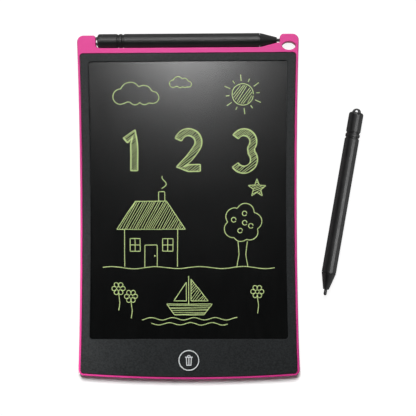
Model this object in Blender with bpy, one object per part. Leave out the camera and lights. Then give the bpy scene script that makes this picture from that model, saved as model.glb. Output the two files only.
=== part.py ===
"""A writing tablet with an LCD film, a stylus docked in its top edge and a second one beside it.

Metres. The tablet lies on its back at Z = 0, +Z runs up through the screen and +Y towards the docked stylus.
"""

import math

import bmesh
import bpy
from mathutils import Euler, Matrix, Vector

MM = 0.001

# Gaps and mesh fineness
FIT = 0.3 * MM
OVERRUN = 1.0 * MM
MERGE = 0.001 * MM
LEAST_ROUND = 0.05 * MM
ARC_STEPS = 5
EDGE_STEPS = 3
BOW_STEPS = 9
CIRCLE_STEPS = 32
SMALL_CIRCLE_STEPS = 20
SHARP_ANGLE = math.radians(32)

# Case outline
BODY_LENGTH = 220.6 * MM
BODY_WIDTH = 142.0 * MM
BODY_DEPTH = 6.6 * MM
WAIST_DRAW = 1.75 * MM
WAIST_HEIGHT_SHARE = 0.52
BOTTOM_BOW = 2.6 * MM
BOTTOM_ROUND = 3.6 * MM
BACK_ROUND = 2.0 * MM
FRONT_ROUND = 0.7 * MM
EAR_HEIGHT = 8.2 * MM
LEFT_EAR_DROP = 0.3 * MM
EAR_ROUND = 4.0 * MM
LEFT_EAR_WIDTH = 12.35 * MM
LEFT_EAR_INNER_ROUND = 2.0 * MM
LEFT_EAR_ROOT_ROUND = 2.1 * MM
RIGHT_EAR_WIDTH = 12.3 * MM
RIGHT_EAR_INNER_ROUND = 2.4 * MM
RIGHT_EAR_ROOT_ROUND = 0.8 * MM
CRADLE_WRAP = 0.3 * MM
STRIP_WIDTH = 3.7 * MM

# Case walls
FLOOR = 1.2 * MM
RIM = 1.3 * MM
LEDGE = 1.2 * MM
RIB_WIDTH = 1.2 * MM
LONG_RIB_COUNT = 3
CROSS_RIB_COUNT = 4
LANYARD_LENGTH = 10.2 * MM
LANYARD_FLAT = 4.2 * MM
LANYARD_WIDTH = 5.2 * MM
LANYARD_TIP_ROUND = 1.4 * MM
LANYARD_SHOULDER_ROUND = 4.6 * MM
LANYARD_FROM_SIDE = 6.35 * MM
LANYARD_FROM_TOP = 7.6 * MM
LANYARD_RIM = 0.5 * MM

# Front panel and screen
PANEL_DROP = 0.2 * MM
PANEL_THICKNESS = 1.2 * MM
PANEL_ROUND = 2.0 * MM
PANEL_EDGE = 0.25 * MM
LIP_THICKNESS = 0.7 * MM
BEZEL = 5.2 * MM
CHIN = 25.9 * MM
WINDOW_ROUND = 1.8 * MM
WINDOW_CHAMFER = 0.35 * MM
FILM_MARGIN = 1.8 * MM
FILM_THICKNESS = 0.4 * MM
BOARD_THICKNESS = 1.5 * MM

# Snap hooks of the panel
HOOKS_PER_SIDE = 3
HOOK_LENGTH = 7.0 * MM
HOOK_THICKNESS = 0.7 * MM
HOOK_DROP = 1.5 * MM
HOOK_BARB = 0.4 * MM
HOOK_SPREAD_SHARE = 0.72

# Erase button
BUTTON_FROM_EDGE = 12.2 * MM
BUTTON_RADIUS = 6.95 * MM
BUTTON_FACE_RADIUS = 5.7 * MM
BUTTON_DROP = 0.1 * MM
BUTTON_EDGE = 0.3 * MM
BUTTON_TRAVEL = 0.4 * MM
BUTTON_CAVITY_RADIUS = 4.5 * MM
FLANGE_WIDTH = 0.75 * MM
FLANGE_THICKNESS = 0.5 * MM
RING_WIDTH = 0.7 * MM
RING_THICKNESS = 0.5 * MM
RING_EDGE = 0.15 * MM

# Circuit board
PCB_WIDTH = 12.8 * MM
PCB_THICKNESS = 0.8 * MM
PCB_ROUND = 1.0 * MM
PCB_LANDING = 2.6 * MM
PCB_SCREW_FROM_END = 2.9 * MM
PCB_SCREW_ROW_SHARE = 0.62
PART_GAP = 0.5 * MM
BOSS_WALL = 1.2 * MM
SCREW_SHANK_RADIUS = 0.7 * MM
SCREW_HEAD_RADIUS = 1.5 * MM
SCREW_HEAD_HEIGHT = 0.7 * MM
SCREW_SLOT_WIDTH = 0.45 * MM
SCREW_SLOT_LENGTH = 1.9 * MM
SCREW_SLOT_DEPTH = 0.35 * MM

# Parts on the circuit board
SWITCH_SIDE = 4.2 * MM
SWITCH_HEIGHT = 0.7 * MM
SWITCH_ROUND = 0.4 * MM
PLUNGER_RADIUS = 0.9 * MM
CHIP_LENGTH = 4.9 * MM
CHIP_WIDTH = 3.9 * MM
CHIP_HEIGHT = 0.7 * MM
CHIP_ROW_SHARE = 0.3
CHIP_LEG_LENGTH = 0.7 * MM
CHIP_LEG_WIDTH = 0.45 * MM
CHIP_LEG_THICKNESS = 0.2 * MM
CHIP_LEGS_PER_SIDE = 4
INDUCTOR_SIDE = 3.0 * MM
INDUCTOR_HEIGHT = 0.8 * MM
INDUCTOR_ROUND = 0.9 * MM
INDUCTOR_ROW_SHARE = -0.25
CAPACITOR_LENGTH = 1.6 * MM
CAPACITOR_WIDTH = 0.8 * MM
CAPACITOR_HEIGHT = 0.6 * MM
LEFT_CAPACITOR_ROW_SHARE = -0.78
RIGHT_CAPACITOR_ROW_SHARES = (-0.35, 0.1)

# Flat cable from the film to the board
CONNECTOR_LENGTH = 9.0 * MM
CONNECTOR_WIDTH = 2.2 * MM
CONNECTOR_HEIGHT = 0.8 * MM
CONNECTOR_ROW_SHARE = 0.55
TAIL_WIDTH = 7.0 * MM
TAIL_THICKNESS = 0.2 * MM
TAIL_UNDER_FILM = 2.0 * MM
TAIL_NOTCH_SIDE = 0.6 * MM

# Lock switch
LOCK_FROM_EDGE = 9.2 * MM
LOCK_TRAVEL = 2.5 * MM
LOCK_PAD_LENGTH = 4.6 * MM
LOCK_PAD_WIDTH = 3.0 * MM
LOCK_PAD_DROP = 0.3 * MM
LOCK_GROOVE_COUNT = 3
LOCK_GROOVE_WIDTH = 0.5 * MM
LOCK_GROOVE_DEPTH = 0.3 * MM
LOCK_LAP = 1.0 * MM
LOCK_FLANGE_THICKNESS = 0.5 * MM
LOCK_STUB_LENGTH = 1.2 * MM
LOCK_STUB_WIDTH = 1.2 * MM
LOCK_STUB_HEIGHT = 0.9 * MM
LOCK_DISH_MARGIN = 1.8 * MM
LOCK_DISH_DEPTH = 0.5 * MM
LOCK_BODY_WALL = 0.9 * MM
LOCK_BODY_HEIGHT = 1.6 * MM

# Coin cell and its door
CELL_RADIUS = 10.0 * MM
CELL_THICKNESS = 1.6 * MM
CELL_CAN_STEP = 0.35 * MM
CELL_FROM_EDGE = 16.0 * MM
CELL_BOARD_CLEARANCE = 1.0 * MM
DOOR_FROM_PCB = 2.4 * MM
DOOR_MARGIN = 1.6 * MM
DOOR_THICKNESS = 1.1 * MM
DOOR_DROP = 0.1 * MM
DOOR_ROUND = 2.0 * MM
DOOR_FRAME_WALL = 1.3 * MM
DOOR_FRAME_THICKNESS = 0.8 * MM
DOOR_SCREW_GAP = 4.0 * MM
DOOR_SCREW_EDGE = 3.0 * MM
DOOR_SCREW_SINK = 0.15 * MM
DOOR_SCREW_WEB = 0.45 * MM
DOOR_SCREW_LENGTH = 2.6 * MM
DOOR_HINGE_GAP = 0.7 * MM
DOOR_TAB_REACH = 1.3 * MM
DOOR_TAB_WIDTH = 4.0 * MM
DOOR_TAB_THICKNESS = 0.5 * MM
DOOR_TAB_SPREAD_SHARE = 0.55
DOOR_TAB_SKIN = 0.5 * MM
CONTACT_WIDTH = 4.0 * MM
CONTACT_THICKNESS = 0.2 * MM
CONTACT_LANDING = 1.4 * MM
CONTACT_FROM_EDGE = 1.0 * MM
CONTACT_RISE = 1.2 * MM

# Stylus
PEN_RADIUS = 4.6 * MM
PEN_AXIS_HEIGHT = 4.7 * MM
PEN_WALL = 1.0 * MM
NIB_RADIUS = 1.0 * MM
NIB_REACH = 4.0 * MM
NIB_INSERT = 5.0 * MM
NIB_SEAT = 2.1 * MM
NIB_SOCKET_CLEARANCE = 0.4 * MM
CONE_LENGTH = 10.65 * MM
CONE_TIP_RADIUS = 1.95 * MM
CONE_TIP_ROUND = 0.35 * MM
SPIGOT_LENGTH = 5.0 * MM
JOINT_NECK = 0.08 * MM
GROOVE_DEPTH = 0.4 * MM
GROOVE_NECK = 0.35 * MM
TAIL_CAP_LENGTH = 15.7 * MM
BAND_LENGTH = 2.8 * MM
SHOULDER_ROUND = 1.5 * MM
LOOP_HEIGHT = 2.5 * MM
LOOP_HALF_WIDTH = 2.75 * MM
LOOP_THICKNESS = 1.7 * MM
LOOP_WALL = 0.9 * MM
LOOP_SEAT = 1.5 * MM
LOOP_ROOT = 0.6 * MM
LOOP_STEPS = 12

# Place of the second stylus on the table
LOOSE_NIB_FROM_SIDE = 16.15 * MM
LOOSE_NIB_BELOW_MIDDLE = 56.6 * MM
LOOSE_LEAN = math.radians(9.9)

# Heights of the stack, from the panel down
PANEL_FACE = BODY_DEPTH - PANEL_DROP
PANEL_BACK = PANEL_FACE - PANEL_THICKNESS
LEDGE_TOP = PANEL_BACK - FIT
FILM_TOP = PANEL_FACE - LIP_THICKNESS - FIT
FILM_BACK = FILM_TOP - FILM_THICKNESS
BOARD_TOP = FILM_BACK - FIT
BOARD_BACK = BOARD_TOP - BOARD_THICKNESS
RIB_TOP = BOARD_BACK - FIT
FLANGE_TOP = PANEL_BACK - FIT
FLANGE_BACK = FLANGE_TOP - FLANGE_THICKNESS
PCB_TOP = FLANGE_BACK - BUTTON_TRAVEL - FIT
PCB_BACK = PCB_TOP - PCB_THICKNESS
SWITCH_TOP = PCB_TOP + FIT + SWITCH_HEIGHT
BUTTON_CEILING = SWITCH_TOP + BUTTON_TRAVEL + FIT

# Places along the case
BOTTOM_Y = -BODY_LENGTH / 2
TOP_Y = BODY_LENGTH / 2
SLOT_FLOOR_Y = TOP_Y - EAR_HEIGHT
PANEL_TOP_Y = SLOT_FLOOR_Y - STRIP_WIDTH
PEN_AXIS_Y = SLOT_FLOOR_Y - CRADLE_WRAP + PEN_RADIUS
SLOT_LEFT_X = -BODY_WIDTH / 2 + LEFT_EAR_WIDTH
SLOT_RIGHT_X = BODY_WIDTH / 2 - RIGHT_EAR_WIDTH
PANEL_MARGIN = RIM + FIT
WINDOW_MARGIN = PANEL_MARGIN + BEZEL
WINDOW_BOTTOM_Y = BOTTOM_Y + CHIN
WINDOW_TOP_Y = PANEL_TOP_Y - BEZEL
BUTTON_Y = BOTTOM_Y + BUTTON_FROM_EDGE
LOCK_Y = BOTTOM_Y + LOCK_FROM_EDGE
CELL_Y = BOTTOM_Y + CELL_FROM_EDGE

# Places across the circuit board, outwards from the button, and the cell beside the board
BUTTON_REACH = BUTTON_RADIUS + FLANGE_WIDTH
CHIP_X = -(BUTTON_REACH + PART_GAP + CHIP_LENGTH / 2)
INDUCTOR_X = CHIP_X - CHIP_LENGTH / 2 - PART_GAP - INDUCTOR_SIDE / 2
PCB_LEFT = INDUCTOR_X - INDUCTOR_SIDE / 2 - PCB_LANDING
CAPACITOR_X = BUTTON_REACH + PART_GAP + CAPACITOR_LENGTH / 2
CONNECTOR_X = CAPACITOR_X + CAPACITOR_LENGTH / 2 + PART_GAP + CONNECTOR_LENGTH / 2
LAST_SCREW_X = CONNECTOR_X + CONNECTOR_LENGTH / 2 + PART_GAP + SCREW_HEAD_RADIUS
PCB_RIGHT = LAST_SCREW_X + PCB_SCREW_FROM_END
LOCK_X = CONNECTOR_X - LOCK_TRAVEL / 2
DOOR_SCREW_X = PCB_LEFT - DOOR_FROM_PCB - DOOR_SCREW_EDGE
CELL_X = DOOR_SCREW_X - DOOR_SCREW_GAP - CELL_RADIUS

# Stylus lengths, measured from the nib's tip
PEN_LENGTH = SLOT_RIGHT_X - SLOT_LEFT_X + NIB_SEAT + LOOP_SEAT
PEN_PIVOT = NIB_SEAT / 2
CONE_END = NIB_REACH + CONE_LENGTH
SPIGOT_RADIUS = PEN_RADIUS - PEN_WALL - FIT
CAP_START = PEN_LENGTH - TAIL_CAP_LENGTH
BAND_START = CAP_START - FIT - BAND_LENGTH
BARREL_END = BAND_START - FIT
CAP_FACE = PEN_LENGTH - LOOP_HEIGHT

# Finishes: colour, roughness, metallic
PINK_ABS = ((0.77, 0.085, 0.32), 0.38, 0.0)
CHARCOAL_ABS = ((0.035, 0.037, 0.04), 0.55, 0.0)
BLACK_FILM = ((0.006, 0.007, 0.008), 0.22, 0.0)
BLACK_BOARD = ((0.012, 0.012, 0.013), 0.6, 0.0)
GREEN_LAMINATE = ((0.02, 0.12, 0.045), 0.4, 0.0)
BLACK_NYLON = ((0.012, 0.012, 0.013), 0.35, 0.0)
GREY_ACETAL = ((0.3, 0.3, 0.31), 0.4, 0.0)
CHROME = ((0.6, 0.63, 0.62), 0.18, 1.0)
STEEL = ((0.45, 0.46, 0.47), 0.28, 1.0)
BRASS = ((0.6, 0.43, 0.16), 0.3, 1.0)
CERAMIC = ((0.35, 0.24, 0.15), 0.5, 0.0)
POLYIMIDE = ((0.35, 0.16, 0.03), 0.35, 0.0)


def clear_scene():
    for obj in list(bpy.data.objects):
        bpy.data.objects.remove(obj, do_unlink=True)


def material_for(name, finish):
    colour, roughness, metallic = finish
    material = bpy.data.materials.new(name + "_finish")
    material.use_nodes = True
    shader = material.node_tree.nodes["Principled BSDF"]
    shader.inputs["Base Color"].default_value = (*colour, 1.0)
    shader.inputs["Roughness"].default_value = roughness
    shader.inputs["Metallic"].default_value = metallic
    return material


def add_object(name, mesh, finish=None, parent=None):
    """A new object; one with no finish is a cutter or a block to be joined, and stays out of the render."""
    obj = bpy.data.objects.new(name, mesh)
    bpy.context.scene.collection.objects.link(obj)
    obj.parent = parent
    if finish:
        if not mesh.materials:
            mesh.materials.append(material_for(name, finish))
    else:
        obj.hide_render = True
        obj.display_type = "WIRE"
    return obj


def add_pivot(name, location, rotation=(0.0, 0.0, 0.0)):
    pivot = bpy.data.objects.new(name, None)
    bpy.context.scene.collection.objects.link(pivot)
    pivot.location = location
    pivot.rotation_euler = rotation
    return pivot


def combine(obj, others, operation):
    """One Boolean of the object with all the others at once."""
    group = bpy.data.collections.new(f"{obj.name}_{operation.lower()}")
    for other in others:
        group.objects.link(other)
    modifier = obj.modifiers.new(group.name, "BOOLEAN")
    modifier.operation = operation
    modifier.solver = "EXACT"
    modifier.operand_type = "COLLECTION"
    modifier.collection = group


def tools(obj, meshes):
    """Hidden objects for a Boolean of the object, with its own parent."""
    return [add_object(f"{obj.name}_{mesh.name}", mesh, parent=obj.parent) for mesh in meshes]


def cut(obj, *meshes):
    combine(obj, tools(obj, meshes), "DIFFERENCE")


def join(obj, *meshes):
    combine(obj, tools(obj, meshes), "UNION")


def baked_mesh(obj):
    """The object's mesh with its modifiers applied, so that two styluses can share it."""
    graph = bpy.context.evaluated_depsgraph_get()
    mesh = bpy.data.meshes.new_from_object(obj.evaluated_get(graph), depsgraph=graph)
    smooth(mesh)
    return mesh


def smooth(mesh):
    mesh.shade_smooth()
    mesh.set_sharp_from_angle(angle=SHARP_ANGLE)


def mesh_of(name, bm):
    bmesh.ops.remove_doubles(bm, verts=bm.verts, dist=MERGE)
    bmesh.ops.recalc_face_normals(bm, faces=bm.faces)
    mesh = bpy.data.meshes.new(name)
    bm.to_mesh(mesh)
    bm.free()
    smooth(mesh)
    return mesh


def loft(name, rings):
    """A closed skin over rings with the same number of points, capped at both ends."""
    bm = bmesh.new()
    loops = [[bm.verts.new(point) for point in ring] for ring in rings]
    for lower, upper in zip(loops, loops[1:]):
        for i in range(len(lower)):
            j = (i + 1) % len(lower)
            bm.faces.new((lower[i], lower[j], upper[j], upper[i]))
    bm.faces.new(loops[0][::-1])
    bm.faces.new(loops[-1])
    return mesh_of(name, bm)


def rounded(corners, inset=0.0):
    """Points of an anticlockwise outline of (x, y, radius) corners, moved inwards by inset."""
    points = []
    for i, (x, y, radius) in enumerate(corners):
        here = Vector((x, y))
        before = (here - Vector(corners[i - 1][:2])).normalized()
        after = (Vector(corners[(i + 1) % len(corners)][:2]) - here).normalized()
        normal = Vector((-before.y, before.x))
        mitre = (normal + Vector((-after.y, after.x))) / (1 + before.dot(after))
        corner = here + mitre * inset
        if not radius:
            points.append(corner)
            continue
        side = math.copysign(1, before.cross(after))
        bend = math.acos(before.dot(after))
        radius = max(radius - side * inset, LEAST_ROUND)
        start = corner - before * radius * math.tan(bend / 2)
        centre = start + normal * radius * side
        for k in range(ARC_STEPS + 1):
            turn = side * bend * k / ARC_STEPS
            spoke = start - centre
            points.append(centre + Vector((
                spoke.x * math.cos(turn) - spoke.y * math.sin(turn),
                spoke.x * math.sin(turn) + spoke.y * math.cos(turn),
            )))
    return points


def slab(name, corners, levels):
    """A plate lofted from one outline at (height, inset) levels."""
    return loft(name, [[(p.x, p.y, z) for p in rounded(corners, inset)] for z, inset in levels])


def rectangle(x, y, half_x, half_y, radius):
    return [
        (x - half_x, y - half_y, radius),
        (x + half_x, y - half_y, radius),
        (x + half_x, y + half_y, radius),
        (x - half_x, y + half_y, radius),
    ]


def block(name, low, high, radius=0.0):
    """A box between two corners, with its upright edges rounded by radius."""
    middle = [(a + b) / 2 for a, b in zip(low, high)]
    half = [(b - a) / 2 for a, b in zip(low, high)]
    corners = rectangle(middle[0], middle[1], half[0], half[1], radius)
    return slab(name, corners, [(low[2], 0.0), (high[2], 0.0)])


def turned(name, profile, centre=(0.0, 0.0), steps=CIRCLE_STEPS):
    """A solid turned about an upright line from (radius, height) points, from the axis or round a bore."""
    bm = bmesh.new()
    verts = [bm.verts.new((centre[0] + radius, centre[1], height)) for radius, height in profile]
    edges = [bm.edges.new(pair) for pair in zip(verts, verts[1:])]
    if profile[0][0] > 0:
        edges.append(bm.edges.new((verts[-1], verts[0])))
    bmesh.ops.spin(
        bm, geom=verts + edges, cent=(*centre, 0.0), axis=(0.0, 0.0, 1.0), angle=math.tau, steps=steps
    )
    return mesh_of(name, bm)


def rod(name, centre, radius, low, high, steps=CIRCLE_STEPS):
    return turned(name, [(0.0, low), (radius, low), (radius, high), (0.0, high)], centre, steps)


def extruded(name, outline, low, high, place):
    """A flat outline of two-number points pushed from low to high; place turns (u, v, w) into a point."""
    return loft(name, [[place(u, v, w) for u, v in outline] for w in (low, high)])


def along_y(u, v, w):
    return u, w, v


def along_x(u, v, w):
    return w, u, v


def strip(points, thickness):
    """The outline of a bent strip whose lower face runs through points in order of rising first number."""
    return list(points) + [(u, v + thickness) for u, v in reversed(points)]


def quarter(radius, steps=EDGE_STEPS):
    """(along, inwards) pairs of a rounded edge, from the face to the side."""
    turns = [math.pi / 2 * k / steps for k in range(steps + 1)]
    return [(radius * (1 - math.cos(turn)), radius * (1 - math.sin(turn))) for turn in turns]


def half_width_at(y):
    waist_y = BOTTOM_Y + WAIST_HEIGHT_SHARE * BODY_LENGTH
    share = (y - waist_y) / (BODY_LENGTH / 2)
    return BODY_WIDTH / 2 - WAIST_DRAW * (1 - share * share)


def bow_at(x):
    share = x / (BODY_WIDTH / 2)
    return BOTTOM_BOW * share * share


def spread(low, high, steps):
    return [low + (high - low) * k / steps for k in range(steps + 1)]


def bottom_corners(margin, bottom, bow, radius):
    """The bottom edge from left to right at a margin inside the case, with its ends rounded."""
    half = half_width_at(bottom) - margin
    if not bow:
        return [(-half, bottom, radius), (half, bottom, radius)]
    xs = spread(-half, half, BOW_STEPS)
    radii = [radius] + [0.0] * (BOW_STEPS - 1) + [radius]
    return [(x, bottom + bow_at(x), r) for x, r in zip(xs, radii)]


def side_points(margin, low, high):
    """The waisted right side between two heights, without its ends."""
    return [(half_width_at(y) - margin, y, 0.0) for y in spread(low, high, BOW_STEPS)[1:-1]]


def plate_corners(margin, bottom, bow, top, radius):
    """A plate that keeps a margin from the waisted sides and ends square at the top."""
    foot = bottom_corners(margin, bottom, bow, radius)
    right = side_points(margin, foot[-1][1], top)
    half = half_width_at(top) - margin
    left = [(-x, y, r) for x, y, r in reversed(right)]
    return foot + right + [(half, top, radius), (-half, top, radius)] + left


def panel_corners():
    return plate_corners(PANEL_MARGIN, BOTTOM_Y + PANEL_MARGIN, True, PANEL_TOP_Y, PANEL_ROUND)


def window_corners():
    return plate_corners(WINDOW_MARGIN, WINDOW_BOTTOM_Y, False, WINDOW_TOP_Y, WINDOW_ROUND)


def case_corners():
    """The case seen from the front: bowed foot, waisted sides, two ears and the stylus slot between them."""
    foot = bottom_corners(0.0, BOTTOM_Y, True, BOTTOM_ROUND)
    right = side_points(0.0, foot[-1][1], TOP_Y)
    left_top = TOP_Y - LEFT_EAR_DROP
    left = [(-x, y, r) for x, y, r in reversed(side_points(0.0, foot[-1][1], left_top))]
    cone_start_x = SLOT_RIGHT_X + NIB_SEAT - CONE_END
    cone_tip_x = SLOT_RIGHT_X + NIB_SEAT - NIB_REACH
    ramp = (PEN_RADIUS - CONE_TIP_RADIUS) / CONE_LENGTH
    ramp_top = SLOT_FLOOR_Y + ramp * (cone_tip_x - cone_start_x)
    ears = [
        (half_width_at(TOP_Y), TOP_Y, EAR_ROUND),
        (SLOT_RIGHT_X, TOP_Y, RIGHT_EAR_INNER_ROUND),
        (SLOT_RIGHT_X, ramp_top, RIGHT_EAR_ROOT_ROUND),
        (cone_tip_x, ramp_top, RIGHT_EAR_ROOT_ROUND),
        (cone_start_x, SLOT_FLOOR_Y, RIGHT_EAR_ROOT_ROUND),
        (SLOT_LEFT_X, SLOT_FLOOR_Y, LEFT_EAR_ROOT_ROUND),
        (SLOT_LEFT_X, left_top, LEFT_EAR_INNER_ROUND),
        (-half_width_at(left_top), left_top, EAR_ROUND),
    ]
    return foot + right + ears + left


def pcb_row(share):
    """A height on the circuit board, from -1 at its lower edge to 1 at its upper edge."""
    return BUTTON_Y + share * PCB_WIDTH / 2


def pcb_screw_places():
    upper, lower = pcb_row(PCB_SCREW_ROW_SHARE), pcb_row(-PCB_SCREW_ROW_SHARE)
    beside_button = -(BUTTON_REACH + PART_GAP + SCREW_HEAD_RADIUS)
    return [(INDUCTOR_X, upper), (LAST_SCREW_X, upper), (beside_button, lower)]


def door_sides():
    """Low and high corners of the battery door seen from the front."""
    left = CELL_X - CELL_RADIUS - DOOR_MARGIN
    right = DOOR_SCREW_X + DOOR_SCREW_EDGE
    reach = CELL_RADIUS + DOOR_MARGIN
    return (left, CELL_Y - reach), (right, CELL_Y + reach)


def door_corners(grow, hinge_grow):
    (left, low), (right, high) = door_sides()
    corners = rectangle((left + right) / 2, (low + high) / 2, (right - left) / 2, (high - low) / 2, 0.0)
    moves = ((-hinge_grow, -grow), (grow, -grow), (grow, grow), (-hinge_grow, grow))
    return [(x + dx, y + dy, DOOR_ROUND) for (x, y, _), (dx, dy) in zip(corners, moves)]


def door_tab_ys():
    return [CELL_Y + sign * DOOR_TAB_SPREAD_SHARE * CELL_RADIUS for sign in (-1, 1)]


def hook_ys():
    middle = (WINDOW_BOTTOM_Y + WINDOW_TOP_Y) / 2
    reach = HOOK_SPREAD_SHARE * (WINDOW_TOP_Y - WINDOW_BOTTOM_Y) / 2
    return spread(middle - reach, middle + reach, HOOKS_PER_SIDE - 1)


def stylus_place():
    """Location and rotation that lay a stylus, drawn up from its nib's tip, into the cradle."""
    return (SLOT_RIGHT_X + NIB_SEAT, PEN_AXIS_Y, PEN_AXIS_HEIGHT), (-math.pi / 2, 0.0, math.pi / 2)


def stylus_envelope():
    """The cradle along the slot and the socket for the nib."""
    socket = NIB_RADIUS + NIB_SOCKET_CLEARANCE
    envelope = [
        (0.0, -FIT),
        (socket, -FIT),
        (socket, NIB_REACH - FIT),
        (CONE_TIP_RADIUS + FIT, NIB_REACH - FIT),
        (PEN_RADIUS + FIT, CONE_END),
        (PEN_RADIUS + FIT, CAP_FACE - SHOULDER_ROUND),
        (PEN_RADIUS - SHOULDER_ROUND / 2 + FIT, CAP_FACE + FIT),
        (0.0, CAP_FACE + FIT),
    ]
    mesh = turned("stylus_envelope", envelope)
    location, rotation = stylus_place()
    mesh.transform(Matrix.LocRotScale(Vector(location), Euler(rotation), None))
    return mesh


def loop_groove():
    """The notch in the left ear for the tail cap's loop, open at the back and at the top."""
    high = PEN_AXIS_HEIGHT + LOOP_THICKNESS / 2 + FIT
    return block(
        "loop_groove",
        (SLOT_LEFT_X - LOOP_SEAT - FIT, PEN_AXIS_Y - LOOP_HALF_WIDTH - FIT, -OVERRUN),
        (SLOT_LEFT_X + LOOP_HEIGHT, TOP_Y + OVERRUN, high),
    )


def lanyard_hole():
    x = half_width_at(TOP_Y) - LANYARD_FROM_SIDE
    y = TOP_Y - LANYARD_FROM_TOP
    reach, flat, high = LANYARD_LENGTH / 2, LANYARD_FLAT / 2, LANYARD_WIDTH / 2
    corners = [
        (x - flat, y - high, LANYARD_SHOULDER_ROUND),
        (x + flat, y - high, LANYARD_SHOULDER_ROUND),
        (x + reach, y, LANYARD_TIP_ROUND),
        (x + flat, y + high, LANYARD_SHOULDER_ROUND),
        (x - flat, y + high, LANYARD_SHOULDER_ROUND),
        (x - reach, y, LANYARD_TIP_ROUND),
    ]
    rim = quarter(LANYARD_RIM)
    levels = [(-OVERRUN, -LANYARD_RIM)]
    levels += [(along, -inwards) for along, inwards in rim]
    levels += [(BODY_DEPTH - along, -inwards) for along, inwards in reversed(rim)]
    levels += [(BODY_DEPTH + OVERRUN, -LANYARD_RIM)]
    return slab("lanyard_hole", corners, levels)


def board_ribs():
    """Upright ribs on the floor that carry the backing board, clear of the battery door's frame."""
    wall = RIB_WIDTH / 2
    half = half_width_at(0.0) - WINDOW_MARGIN
    low = CELL_Y + CELL_RADIUS + DOOR_MARGIN + FIT + DOOR_FRAME_WALL + RIB_WIDTH
    ribs = [
        block(f"long_rib_{i}", (x - wall, low, FLOOR / 2), (x + wall, WINDOW_TOP_Y, RIB_TOP))
        for i, x in enumerate(spread(-half, half, LONG_RIB_COUNT + 1)[1:-1])
    ]
    ribs += [
        block(f"cross_rib_{i}", (-half, y - wall, FLOOR / 2), (half, y + wall, RIB_TOP))
        for i, y in enumerate(spread(low, WINDOW_TOP_Y, CROSS_RIB_COUNT + 1)[1:-1])
    ]
    return ribs


def screw_bosses(radius, low, high):
    """Upright rods at the board's screws: the bosses, or the bores in them."""
    return [
        rod(f"boss_rod_{i}", place, radius, low, high, SMALL_CIRCLE_STEPS)
        for i, place in enumerate(pcb_screw_places())
    ]


def door_frame_top():
    return DOOR_DROP + DOOR_THICKNESS + FIT + DOOR_FRAME_THICKNESS


def door_screw_top():
    return DOOR_DROP + DOOR_SCREW_SINK + SCREW_HEAD_HEIGHT + DOOR_SCREW_LENGTH


def door_frame():
    """The raised frame round the battery opening and the boss for the door's screw."""
    reach = DOOR_HINGE_GAP + DOOR_TAB_REACH + DOOR_FRAME_WALL
    corners = door_corners(FIT + DOOR_FRAME_WALL, reach)
    boss = SCREW_SHANK_RADIUS + FIT + BOSS_WALL
    low = DOOR_DROP + DOOR_THICKNESS + 2 * FIT
    high = door_screw_top() + FIT
    return [
        slab("door_frame", corners, [(FLOOR / 2, 0.0), (door_frame_top(), 0.0)]),
        rod("door_boss", (DOOR_SCREW_X, CELL_Y), boss, low, high, SMALL_CIRCLE_STEPS),
    ]


def door_seat():
    """The pocket for the door, the opening for the cell, the screw's bore and the slots for the tabs."""
    seat = DOOR_DROP + DOOR_THICKNESS + FIT
    left = door_sides()[0][0]
    half = DOOR_TAB_WIDTH / 2 + FIT
    bore = SCREW_SHANK_RADIUS + FIT
    meshes = [
        slab("door_pocket", door_corners(FIT, DOOR_HINGE_GAP), [(-OVERRUN, 0.0), (seat, 0.0)]),
        rod("door_bore", (DOOR_SCREW_X, CELL_Y), bore, -OVERRUN, door_screw_top(), SMALL_CIRCLE_STEPS),
        rod("cell_opening", (CELL_X, CELL_Y), CELL_RADIUS + FIT, 0.0, LEDGE_TOP),
    ]
    for i, y in enumerate(door_tab_ys()):
        meshes.append(block(
            f"tab_slot_{i}",
            (left - DOOR_HINGE_GAP - DOOR_TAB_REACH - FIT, y - half, DOOR_TAB_SKIN),
            (left + FIT, y + half, door_frame_top() + OVERRUN),
        ))
    return meshes


def lock_slot():
    """The slot that the lock slider runs in, and the shallow dish round it."""
    middle = LOCK_X + LOCK_TRAVEL / 2
    half_x = (LOCK_PAD_LENGTH + LOCK_TRAVEL) / 2 + FIT
    half_y = LOCK_PAD_WIDTH / 2 + FIT
    slot = rectangle(middle, LOCK_Y, half_x, half_y, half_y / 2)
    dish = rectangle(middle, LOCK_Y, half_x + LOCK_DISH_MARGIN, half_y + LOCK_DISH_MARGIN, half_y)
    levels = [(-OVERRUN, -LOCK_DISH_DEPTH), (0.0, -LOCK_DISH_DEPTH), (LOCK_DISH_DEPTH, 0.0)]
    return [
        slab("lock_slot", slot, [(-OVERRUN, 0.0), (FLOOR + OVERRUN, 0.0)]),
        slab("lock_dish", dish, levels),
    ]


def hook_pockets():
    """Undercut pockets in the ledge that the panel's snap hooks catch in."""
    meshes = []
    for i, y in enumerate(hook_ys()):
        for sign in (-1, 1):
            edge = half_width_at(y) - PANEL_MARGIN
            inner = edge - LEDGE - OVERRUN
            half = HOOK_LENGTH / 2 + FIT
            floor = LEDGE_TOP - HOOK_DROP - FIT
            barb_top = LEDGE_TOP - HOOK_DROP + 2 * HOOK_BARB + FIT
            for name, outer, top in (
                ("gate", edge - HOOK_BARB, LEDGE_TOP + OVERRUN),
                ("catch", edge + FIT, barb_top),
            ):
                low_x, high_x = sorted((sign * inner, sign * outer))
                low = (low_x, y - half, floor)
                meshes.append(block(f"hook_{name}_{i}_{sign}", low, (high_x, y + half, top)))
    return meshes


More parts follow.
